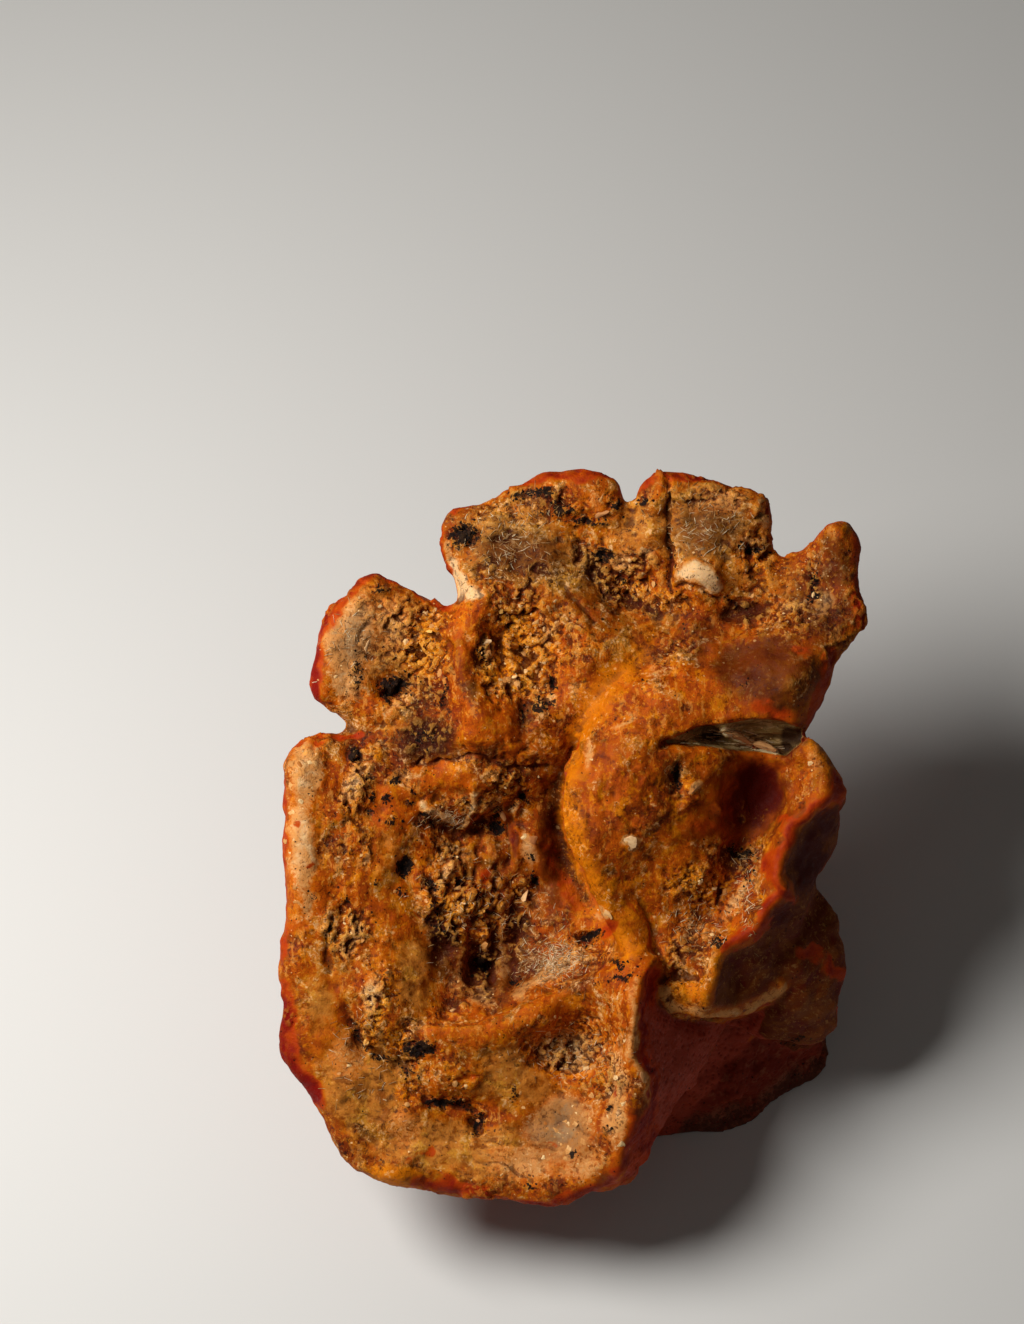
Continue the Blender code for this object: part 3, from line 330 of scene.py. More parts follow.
        (47, 42, 6, 8, 20, 0.9), (26, 38, 6, 4, 0, 0.7), (36, 8, 5, 7, 0, 1.1),
        (-21, -19.5, 3.4, 5.4, 0, 1.2), (-7.6, -16, 2.4, 3, 0, 1.1),
        (-24.5, 18.4, 4.8, 3.8, 0, 1.5), (-1.6, -3, 2.6, 12, 0, 0.95), (-12.5, -23.6, 8, 6, 0, 1.3),
        (-8, 52, 9, 5, 0, 1), (27, 57, 8, 6, 0, 0.75), (6, 42, 8, 5, -20, 0.6),
        (50, 51, 3.4, 6, 0, 0.95), (-10, -8, 10, 7, 0, 0.6), (48, 12, 4, 5, 0, 0.5),
        (30, 2, 7, 5, 0, 0.6), (-13, 44, 8, 2.4, 0, 0.5), (-17.5, 31, 3, 8, 12, 0.5),
        (0, -53, 8, 6, 0, 0.8), (-37, 36, 5, 8, -10, 0.7), (-33, 32, 8, 7, 0, 0.5),
        (-16, 2, 9, 6, 0, 0.5),
    ],
    "shade": [   # painted shade: deep red-brown in the hollows and on the edges that lie in shadow
        (36.5, 9, 4.4, 6.5, 0, 1.1), (32, 7, 4.6, 6, 0, 0.75), (31, 0, 3, 2.4, 0, 0.5),
        (42.4, 18, 2.4, 3.6, 10, 1.1), (1.4, -6, 1.2, 9, 10, 0.15), (-9, 0.6, 0.7, 3.6, 0, 0.9),
        (45.5, -3.5, 3, 6, -10, 1), (49, 3, 3, 2.4, 30, 0.9), (30, -25, 1.6, 4, -40, 0.5),
        (40.6, -13.6, 3, 1.6, 40, 0.7), (-13.2, -7.4, 1, 1.8, 0, 0.5), (5, 13, 2, 4, 0, 0.4),
        (29, 6, 3, 3, 0, 0.6), (40, 13, 2, 3, 0, 0.6), (35, 32, 8, 5, 0, 0.42),
        (31.5, 41.6, 4, 1.2, 8, 0.5),
    ],
    "fold": [   # clean yellow-orange skin
        (40, 28, 6, 5, 0, 0.6), (22, 34, 4, 4, 0, 0.4), (46, 25, 3, 3, 0, 0.6),
    ],
    "tan": [   # leathery tan lobes
        (-9, 54, 10, 6.5, 10, 0.95), (2, 49, 9, 6, -10, 0.85), (26, 57.5, 9, 7.5, 0, 0.95),
        (14, 57, 6, 6, 0, 0.7), (-34, 37, 9, 8.5, 0, 0.9), (-22, 46, 5, 2, 0, 0.5),
        (-36, -44, 8, 9, 10, 1), (-23, -55, 12, 5, -8, 1), (-10, -44, 8, 3.6, 0, 0.9),
        (-26.6, -24, 4, 7.6, 0, 0.85), (-44, -30, 3, 6, 0, 0.8), (-12, -57, 12, 5, 0, 0.9),
        (-5, -46, 8, 3, 0, 0.7), (18, 39, 5, 4, 30, 0.5), (39, 47, 6, 4, 30, 0.5),
        (-12, -25, 5, 6, 0, 0.5), (12, 38, 6, 5, 30, 0.5), (-30, 22, 5, 4, 0, 0.5),
        (31.5, 47, 6, 5, 0, 0.5), (-43, 4, 3, 12, 0, 0.4), (-9, -40, 8, 3.6, 0, 0.75),
        (-31, -4, 4, 9, 0, 0.5), (-40, -22, 4, 8, 0, 0.5),
    ],
    "smooth": [   # calm waxy skin
        (16, 8, 14, 18, 0, 0.85), (34, 14, 9, 9, 0, 0.9), (-47.5, 0, 3.2, 16, 0, 1.1),
        (-16.8, 33, 2.4, 10, 12, 1.2), (-10, 19, 9, 4.4, 0, 1), (-31, 4, 4, 9, 0, 0.9),
        (-30.5, -11, 4, 8, 0, 0.9), (-20, 11.5, 6, 2.6, 0, 1), (-14, -2, 3.6, 2.8, 0, 0.7),
        (-1.6, -3, 3.4, 12, 0, 1.1), (-26.6, -24, 3.4, 7, 0, 1.1), (-24.5, 18.6, 4.4, 3.4, 0, 1.4),
        (-36, -44, 7.4, 8.4, 10, 1.2), (-24, -55.5, 12, 4.6, -8, 1.2), (-9, -44.5, 7, 3, 0, 1.2),
        (-43.5, -28, 4, 8, 0, 1), (6, 8, 5, 12, 0, 1.1), (26, 2, 6, 3, 0, 1.1),
        (-4, -34.6, 7, 2, 15, 0.9), (-13.2, -7.2, 1.6, 2, 0, 0.9), (-39.5, 34, 4, 8, -10, 0.9),
        (26, 58, 8, 4, 0, 0.6), (-8, 53, 9, 4, 0, 0.6), (-6, -1.2, 2, 3, 20, 0.7),
        (12, 8, 9, 10, 0, 0.9), (30, 12, 8, 8, 0, 0.85), (24, 1, 8, 5, 0, 0.8),
        (37, 30, 8.4, 7, 0, 0.95), (15, -17, 3, 5, 0, 0.9), (-30, -2, 3, 14, 0, 0.5),
        (-29, -20, 3, 6, 0, 0.5), (0, -54.5, 8, 6, 0, 1.2), (48, 12, 4, 7, 0, 0.8),
        (-12, -36.5, 8, 4, 0, 0.6), (-29.5, -61, 4, 3, 0, 1), (25, 24, 8, 6, 0, 0.6),
        (2, 26, 4, 8, 0, 0.5), (12, -12, 5, 7, 0, 0.9),
    ],
    "red": [   # fresh red crust, mostly at the rims
        (45, -20.6, 3.2, 1.4, -20, 0.75), (50, -23.4, 3, 1.6, -28, 0.8),
        (15.5, -55, 3.5, 6, 20, 0.8), (-13.2, -7.2, 1.5, 1.9, 0, 0.75),
        (-8.9, -8.4, 1.4, 1.2, 0, 0.4), (0.2, 36, 0.9, 1, 0, 0.6), (-1.6, -4, 2.4, 11, 0, 0.35),
        (-17.5, -43.2, 3.2, 2, 0, 0.55), (-43, -36, 4, 7, 0, 0.35), (39, 23.5, 4, 2, 0, 0.6),
        (26, 2.6, 4.4, 2.4, 0, 0.5), (38.8, -5.4, 2, 3.4, 0, 0.8), (22, -5, 1.8, 1.4, 0, 0.4),
        (9, 16.5, 3, 3, 0, 0.35), (8.8, -16, 1.2, 2.6, -40, 0.8), (1, -9, 1.6, 6, 10, 0.5),
        (50.8, 10, 1.6, 3.6, 10, 0.9), (-47.6, 3, 0.8, 1, 0, 0.8), (-46, -4, 0.7, 0.9, 0, 0.8),
        (-23.5, -57, 1, 1, 0, 0.7), (6, 29, 1, 3, 30, 0.4), (-27, -57.6, 2.4, 1, 25, 0.6),
        (44, 34.5, 3, 2.2, 0, 0.45), (-2, -56, 2, 0.6, -10, 0.5),
    ],
}
strokes = {
    "gold": [
        (foldLine, 2.6, 0.25),
    ],
    "cream": [
        (lipLine, 0.9, 0.75), (plateRim[1:7], 1.2, 0.6),
        (((-16, 9.4), (-15.6, 6.4), (-17.6, 2.4)), 0.6, 1),
        (((-24.6, 6.2), (-22, 4.6), (-19, 3.6)), 0.8, 1.15),
        (((-21.2, -6.6), (-22, -8.8)), 0.3, 1.1),
        (((-6.4, -27.8), (-2, -24.2), (3, -20)), 1.7, 0.7),
    ],
    "smooth": [
        (foldLine, 4, 1), (rimLine, 2, 1), (plateRim, 1.8, 1),
        (((12, -22.5), (6, -26), (-2, -29.5), (-10, -33), (-22, -34.5)), 2.4, 0.8),
    ],
    "fold": [
        (foldLine, 3.2, 0.75), (((12, -8), (15, -18), (17, -22)), 2, 0.5),
        (((12, -23), (6, -26.5), (-2, -30), (-10, -33)), 2, 0.4), (((50, 14), (46, 19)), 2.5, 0.7),
        (rimFoot, 1.3, 0.7), (lipLine, 1.2, 0.5), (((20, -28), (25, -27.4)), 2.2, 0.7),
        (((-33, -61), (-26, -62.5)), 2.6, 1), (((20, -27.2), (27, -30.4), (33, -29.5)), 2, 0.4),
        (((-17, 24), (-18, 34), (-15, 42)), 3, 0.2), (((-36, 4), (-35, -10)), 2.6, 0.4),
        (((-33, -14), (-33, -26)), 2.6, 0.5), (((-8, 20), (4, 24)), 3, 0.3),
    ],
    "red": [
        (rimLine, 1.1, 0.8), (creaseLine, 0.4, 0.5),
        (((-45.4, 26), (-45, 32), (-43.6, 38), (-41, 42.8), (-37, 46.5)), 1.3, 1),
        (((-36, 48), (-33, 48.6), (-27, 45.6), (-21, 43.4)), 0.9, 0.9),
        (((-21.4, 57), (-20.9, 51), (-19.4, 45)), 0.7, 1),
        (((-19, 60.2), (-9, 63.8), (-2, 66.4), (9, 66.6)), 0.9, 0.75),
        (((14.5, 64), (19, 67.4), (26, 65.8), (36, 63.6), (38.4, 59)), 0.9, 0.8),
        (((-51, -28), (-50.8, -36), (-48.8, -42.2), (-45.6, -46.8)), 2.2, 1.1),
        (((-50.6, 12), (-50.2, 2), (-50.4, -10), (-50.6, -22)), 0.6, 0.7),
        (((-48, 17.6), (-42, 19.4), (-37, 19)), 0.8, 0.7),
        (((-26.5, -61.9), (-20, -63.3), (-14, -64.7)), 1.6, 0.8),
        (((-14, -65.2), (-8, -66.2), (-1, -66.8), (7, -64)), 1, 0.85),
        (((-1, -66.4), (7, -63.4), (13, -59.4)), 1.2, 0.8),
        (((54.4, 56), (55, 50), (54.4, 44), (55, 39)), 1.6, 0.8),
        (((49, 34), (47.6, 27), (45.4, 21.4)), 1.6, 0.7),
        (((16.9, -24), (15.2, -30), (14.6, -38), (17.2, -43), (17.2, -47.5), (14, -54),
         (12, -60)), 0.9, 0.9),
    ],
    "soil": [
        (((-12, 15.2), (-7.5, 12.8), (-2.4, 14)), 0.35, 0.5), (topCrack, 0.4, 0.8),
        (((-26, 3.4), (-22, 2.2)), 0.6, 0.7), (((-14, 3), (-10, 5)), 0.6, 0.8),
        (((-8, 6.4), (-6, 8.2)), 0.6, 0.7), (((-24, 0.6), (-20.6, -1.6)), 0.5, 0.7),
        (((-41.6, -14), (-42, -24)), 0.4, 0.7),
        (((-38, -33), (-36, -37.5), (-28.5, -41), (-24, -47.5), (-15.5, -49)), 0.8, 0.6),
        (((1.2, 60.2), (-5.5, 59.6), (-12, 57.6)), 0.6, 0.5),
    ],
    # dark crust, and painted shade along the creases and valleys
    "burntAndShade": [
        (creaseLine, 0.5, 0.5), (((3, 17), (-0.6, 10), (-0.8, 3), (0.8, -4), (4.2, -11)), 1.4, 0.8),
        (((17, 41), (13, 44), (8, 47.5), (4.5, 53)), 2.4, 0.9),
        (((-25, -33.5), (-15, -33.5), (-8, -30.5), (0, -27), (8, -23.5)), 0.8, 0.5),
    ],
}


def finishShare(points, name):
    # how much of one finish lies at each point, with wandering edges
    wander = np.column_stack([
        points[:, 0] + 1.1 * layeredNoise(points, 4.0, 11, 3, 0.6),
        points[:, 1] + 1.1 * layeredNoise(points, 4.0, 31, 3, 0.6),
    ])
    share = np.zeros(len(points))
    for u, v, halfU, halfV, turn, strength in patches.get(name, []):
        share = np.maximum(share, strength * dab(wander, u, v, halfU, halfV, turn))
    for line, halfWidth, strength in strokes.get(name, []):
        share = np.maximum(share, strength * stroke(wander, line, halfWidth))
    return share


skinValues = {              # sizes and heights in mm
    "voxel": 0.52,              # size of the sculpted faces
    "roundPasses": 3,
    "triangles": 188000,
    "coverGap": 0.6,            # skin this much under other skin counts as hidden
    "chipSizes": ((3.2, 0.32, 0.07), (1.7, 0.26, 0.04), (0.9, 0.17, 0.0)),  # last: gap's depth
    "chipGap": 0.14,            # width of the gap, as a share of the chip
    "chipTilt": 0.5,
    "crumple": ((2.6, 0.22), (1.1, 0.12)),    # size, height of the torn, flaky crust
    "buckle": (5.0, 0.65),      # of the buckled crust in the pits
    "lumps": ((7.0, 0.45), (2.8, 0.2), (1.5, 0.1)),
    "swell": (3.0, 0.22),
    "fibreSize": (3.2, 0.8),    # along and across the fibres
    "fibreHeight": 0.16,
    "fibreTurn": 12.0,          # degrees
    "bowlMiddle": (24.0, 6.0),  # u, v that the right lobe's fibres run towards
    "bowlFibres": 0.16,         # their height
    "mudSize": 3.6,
    "mudGap": 0.22,
    "mudDepth": 0.4,
    "gnarl": ((8.5, 1.5), (3.4, 0.5)),        # size, height of the stem's knobs
    "stemGrain": (1.8, 0.25),
    "stemTop": 46.0,            # height over the ground where the stem fades into the cap
    "foldRibs": 0.5,            # height of the blunt ribs under the cap
    "hiddenShare": 0.35,        # how dense the unseen side stays
}


def meshArrays(mesh):
    points = np.empty(len(mesh.vertices) * 3)
    normals = np.empty(len(mesh.vertices) * 3)
    mesh.vertices.foreach_get("co", points)
    mesh.vertices.foreach_get("normal", normals)
    return points.reshape(-1, 3), normals.reshape(-1, 3)


def setPoints(mesh, points):
    mesh.vertices.foreach_set("co", points.ravel())
    mesh.update()


def castDown(tree, u, v):
    # the skin's place and normal that the eye meets at u, v
    return tree.ray_cast(Vector((u, v, eye["castFrom"])), Vector((0.0, 0.0, -1.0)))[:2]


def triangleCorners(mesh):
    mesh.calc_loop_triangles()
    corners = np.empty(len(mesh.loop_triangles) * 3, dtype=np.int32)
    mesh.loop_triangles.foreach_get("vertices", corners)
    return corners.reshape(-1, 3)


def skinTree(mesh):
    points, _ = meshArrays(mesh)
    return BVHTree.FromPolygons(points.tolist(), triangleCorners(mesh).tolist())


def seenFromFront(mesh):
    # 1 where nothing lies over the point, 0 where it is hidden or turned away
    points, normals = meshArrays(mesh)
    tree = skinTree(mesh)
    seen = np.zeros(len(points))
    for index, (u, v, w) in enumerate(points.tolist()):
        hit = castDown(tree, u, v)[0]
        if hit is not None and hit.z - w < skinValues["coverGap"]:
            seen[index] = 1.0
    return seen * smoothStep((normals[:, 2] + 0.05) / 0.3)


def spread(mesh, values, passes):
    # evens out values over the mesh, one ring of neighbours a pass
    edges = np.empty(len(mesh.edges) * 2, dtype=np.int32)
    mesh.edges.foreach_get("vertices", edges)
    a, b = edges[0::2], edges[1::2]
    count = len(mesh.vertices)
    degree = np.bincount(a, minlength=count) + np.bincount(b, minlength=count) + 1.0
    columns = values.reshape(count, -1).copy()
    for _ in range(passes):
        for k in range(columns.shape[1]):
            column = columns[:, k]
            total = np.bincount(a, column[b], count) + np.bincount(b, column[a], count)
            columns[:, k] = (total + column) / degree
    return columns.reshape(values.shape)


def loopShare(mesh, points, loop, passes):
    # 1 inside a loop seen from the front, with its edge evened out
    return spread(mesh, insideLoop(points, loop) * 1.0, passes)


def startSkin():
    # a merged copy of the node's mesh, in drawn millimetres, rounded and given fine even faces
    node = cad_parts["mushroom"]
    bpy.ops.object.select_all(action="DESELECT")
    skin = bpy.data.objects.new("mushroomSkin", node.data.copy())
    bpy.context.scene.collection.objects.link(skin)
    bpy.context.view_layer.objects.active = skin
    skin.select_set(True)
    skin.data.materials.clear()
    body = bmesh.new()
    body.from_mesh(skin.data)
    bmesh.ops.remove_doubles(body, verts=body.verts, dist=1e-7)
    crease = body.edges.layers.float.new("crease_edge")
    for edge in body.edges:
        onCut = [abs(face.normal.z) > 0.999 and face.calc_center_median().z < 1e-5
                 for face in edge.link_faces]
        edge[crease] = 1.0 if any(onCut) and not all(onCut) else 0.0
    body.to_mesh(skin.data)
    body.free()
    points, _ = meshArrays(skin.data)
    setPoints(skin.data, toDrawn(points))
    for kind, settings in (
        ("SUBSURF", {"levels": 2, "render_levels": 2}),
        ("REMESH", {"mode": "VOXEL", "voxel_size": skinValues["voxel"]}),
        ("SMOOTH", {"factor": 0.5, "iterations": skinValues["roundPasses"]}),
    ):
        step = skin.modifiers.new(kind.lower(), kind)
        for name, value in settings.items():
            setattr(step, name, value)
        bpy.ops.object.modifier_apply(modifier=step.name)
    return skin


ridges = [   # line, half width, height
    (rimLine, 1.1, 0.7), (rimFoot, 1, 0.6), (creaseLine, 1.1, 0.9), (plateRim, 0.9, 0.7),
    (lipLine, 0.8, 0.9), (((14.4, -25), (16.8, -21.8), (19, -24)), 0.9, 0.7),
    (((-21.4, 57), (-20.9, 51), (-19.4, 45)), 0.8, 0.5),
    (((-48, 14), (-48.3, 2), (-48, -11)), 1.3, 0.6),
    (((-43.4, 27), (-42.8, 34), (-40.6, 40), (-36.5, 45)), 1.4, 0.5),
    (((14, -21), (8, -25), (0, -28), (-8, -31.5), (-15, -34.5), (-23, -34.5)), 2.2, 0.4),
    (((20.2, -26.8), (26, -29.6), (33, -30), (38.5, -27.4)), 1.3, 0.5),
    (((31, 22.4), (36, 22.9), (40, 22.5), (43.4, 21.4)), 0.5, 0.5),
    (((-16, 9.6), (-15.6, 6.4), (-17.6, 2.2)), 0.6, 0.9),
    (((-25, 6.4), (-22, 4.8), (-18.6, 3.6)), 0.7, 0.8), (((-7.4, 6.6), (-8.2, 4.6)), 0.5, 0.7),
    (((-8.4, 2), (-4.2, -0.6)), 0.6, 0.7), (((-8.2, 1.6), (-8, -5)), 0.5, 0.6),
    (((-18.4, -13.6), (-18.3, -27.5)), 1, 0.7), (((-10.8, -12), (-10.5, -27)), 0.9, 0.7),
    (((-13.9, -14), (-14.1, -19.6)), 0.8, 0.5), (((-19.6, -3), (-21.4, -8.6)), 0.7, 0.6),
    (((-25, 12.6), (-20, 13.6), (-15, 11)), 2.4, 0.8),
    (((-17, -1), (-13, 0.2), (-11.6, -3)), 0.9, 0.5), (((-16.4, -3.4), (-12.6, -3.8)), 0.6, 0.4),
    (((22.4, 6.4), (24.6, 7.8), (27.2, 7.2), (28.4, 5)), 0.6, 0.7),
    (((28, 8), (28.6, 0)), 0.9, 0.5), (((7.6, 18), (6.8, 8)), 0.7, 0.4),
    (((3.6, 19), (5.6, 13)), 0.6, 0.4), (((29, 35.6), (35, 37.6), (42, 37.2)), 2, 0.4),
    (((-33, -61.4), (-26, -62.6)), 1.8, 0.7),
]
grooves = [   # line, half width, depth
    (((-26, 3.2), (-22, 2.2), (-18, 1.2), (-14, 2.8), (-10, 5), (-6.2, 8.2)), 0.8, 0.5),
    (((-24, 8.6), (-20, 7.6), (-17, 8.2)), 1, 0.4), (((-9, 4), (-9, -3.4)), 0.6, 0.7),
    (((-21.4, -13), (-21.2, -25)), 1.4, 0.9), (((-15.8, -13), (-15.8, -26)), 0.7, 0.6),
    (((-12.6, -13.6), (-12.7, -26)), 0.7, 0.7), (((-8, -12.6), (-8.2, -25)), 1.1, 0.8),
    (((-15.4, -5), (-15.2, -9)), 0.4, 0.6), (((-11.4, -5), (-11.6, -9)), 0.4, 0.6),
    (((-14, 1), (-15.4, -1.4), (-14, -4)), 0.35, 0.5), (((-5.6, 26.4), (-5.4, 22.4)), 0.5, 0.7),
    (topCrack, 0.4, 1.2), (((-41.6, -14), (-41.9, -19), (-42, -24)), 0.45, 0.9),
    (((-26, 13.6), (-20, 15), (-15, 15.2), (-11, 13.6), (-7, 12.8), (-2.4, 13.6)), 0.4, 0.8),
    (((-12, 15), (-11, 17.6)), 0.3, 0.5), (((-8.5, 13), (-7.5, 16), (-5.6, 17)), 0.3, 0.5),
    (((-5, 13), (-4, 15.6)), 0.3, 0.4), (((-16, 15), (-17.4, 18)), 0.3, 0.4),
    (((-38, -33), (-36, -37.5), (-28.5, -41), (-24, -47.5), (-15.5, -49), (-14.8, -53)), 0.6, 0.6),
    (((3, 18), (-0.4, 10), (-0.6, 3), (1, -4), (4.4, -11)), 0.5, 0.3),
    (((-25, -33), (-15, -32.6), (-8, -29.6), (0, -26), (8, -22.4)), 0.8, 0.7),
    (((4, 14), (6.4, 19)), 0.4, 0.4), (((20.6, -24.6), (25, -25.6)), 0.6, 0.7),
    (((21.6, 46.9), (25, 46), (26.6, 44.8), (28.8, 44)), 0.4, 0.8),
    (((-35, 40), (-37, 35.5), (-34.6, 33)), 0.4, 0.5), (((30.5, 41), (38, 42.6)), 0.8, 0.8),
    (((-16.4, -58), (-10, -59), (-5, -62)), 0.4, 0.4), (((3.4, -52.4), (7, -54.6)), 0.4, 0.4),
    (((-4.5, -54.6), (-1, -56.4)), 0.35, 0.5), (((0.8, 46), (6.4, 40)), 0.7, 0.6),
]
pits = [   # u, v, half u, half v, depth
    (-7.5, 33, 8.2, 8.6, 1.2), (1.5, -38.8, 8, 4.4, 0.8), (-30, 27.6, 2.8, 1.7, 1.4),
    (-1.6, 28.4, 0.7, 1.6, 1.4), (-3.4, 25, 1.6, 0.9, 1), (-6.4, 22.3, 0.6, 1.9, 0.9),
    (-14.6, 33.4, 0.8, 2.2, 0.8), (21.2, 11.3, 0.9, 2.2, 1.5), (5.4, -17.8, 1.9, 1, 1.5),
    (-14, -22.5, 1.8, 1.4, 1.3), (-7.9, -25.6, 1, 0.8, 1), (-28, -5, 1.3, 1.6, 0.9),
    (-12, 2.4, 1.4, 1.3, 0.9), (-37.5, 15, 1.2, 1.2, 0.9), (-17.4, 55.2, 2.4, 2, 0.8),
    (28.6, -18.2, 1.3, 0.8, 1), (-25.5, -38.6, 1.8, 1.2, 0.7), (-15.2, -51.6, 1, 2, 0.9),
    (46.5, 47.8, 1.4, 1.1, 0.7), (35.4, 52.8, 2.4, 0.9, 0.7), (10.6, 61.2, 1, 1, 0.7),
    (32.5, -2, 2.8, 1.1, 0.8), (-15, -9.6, 0.9, 0.9, 0.8), (8.5, 52, 1.2, 2.2, 0.7),
    (-20, -29.6, 2.2, 2.4, 0.8), (-1.5, -16, 1.2, 3, 0.6), (-4.6, -11, 1, 2.4, 0.6),
    (41, -36, 2.2, 0.7, 1), (45.8, -34.6, 1.6, 0.7, 0.8), (-23.6, -8.2, 1.5, 1.2, 0.7),
]
tornWedge = [
    (-21, 55), (-19.6, 54), (-19.8, 51.8), (-18.2, 51), (-18.4, 49), (-16.6, 48.2), (-16.8, 46.6),
    (-14.6, 46), (-13.2, 44), (-19.4, 43.2), (-20.2, 48),
]
paleFlap = [
    (20.6, 48), (22.4, 50.2), (24.4, 51.3), (27.2, 50), (29.2, 47.6), (29.8, 45.6), (28.4, 44.7),
    (26.6, 45.4), (25, 46.8), (22.6, 47.4),
]
tear = {
    "upper": (
        (18.2, 17.9), (20.6, 18.6), (25, 20.7), (31.4, 21.7), (36, 22.6), (41, 21.9), (44, 20.5),
    ),
    "lower": (
        (18.2, 17.7), (20.6, 17.4), (26, 17), (31, 16.2), (36, 15.8), (41, 15), (44, 17.6),
    ),
    "tooth": (   # bright flesh
        (30, 19.7), (32.5, 18.7), (35.6, 17), (39, 16),
    ),
    "shelf": (   # torn flesh below it
        (24, 17.7), (29, 17), (34, 16.5), (38, 16.2),
    ),
    "hole": (28.0, 18.9, 2.8, 0.9),   # u, v, half u, half v; sunk, and painted dark as shade
    "end": (42.6, 18.4, 2.6, 3.4),   # the right end, painted dark as shade
}


def tearShare(points):
    # 1 inside the torn slit between the right lobe and the lobe above it
    upper = np.interp(points[:, 0], *zip(*tear["upper"]), left=0.0, right=0.0)
    lower = np.interp(points[:, 0], *zip(*tear["lower"]), left=1.0, right=1.0)
    down = (upper - points[:, 1]) / np.maximum(upper - lower, 0.01)
    return np.where(upper > lower, smoothStep(down / 0.1) * smoothStep((1.0 - down) / 0.1), 0.0)


def shredNoise(points, salt):
    # noise drawn out along the tear
    shreds = np.column_stack([points[:, 0] / 5.0 + points[:, 1] * 0.1, points[:, 1] / 0.8,
                              points[:, 2] / 4.0])
    return layeredNoise(shreds, 1.0, salt, 2)


def crustShare(points, share, walls):
    # how flaky the crust is: strongest in the golden pits, nearly gone on the waxy skin
    flaky = 0.1 + 0.85 * share["gold"] + 0.5 * share["soil"] + 0.6 * share["burntAndShade"]
    flaky += 0.1 * share["cream"] + 0.35 * smoothStep((layeredNoise(points, 7.0, 8, 3) - 0.2) / 0.3)
    flaky = np.clip(flaky - 0.5 * share["smooth"], 0.02, 1.1)
    flaky *= smoothStep(0.85 + 0.7 * layeredNoise(points, 5.0, 5, 3))
    return flaky * (1.0 - 0.95 * walls)


def wallShare(mesh, points):
    walls = np.maximum(insideLoop(points, pinkWall), insideLoop(points, outerWall))
    return spread(mesh, np.maximum(walls, insideLoop(points, stemFront)) * 1.0, 3)


shapingFinishes = ("cream", "gold", "soil", "burntAndShade", "tan", "smooth")
finishes = shapingFinishes + ("fold", "red", "brownAndShade", "shade")


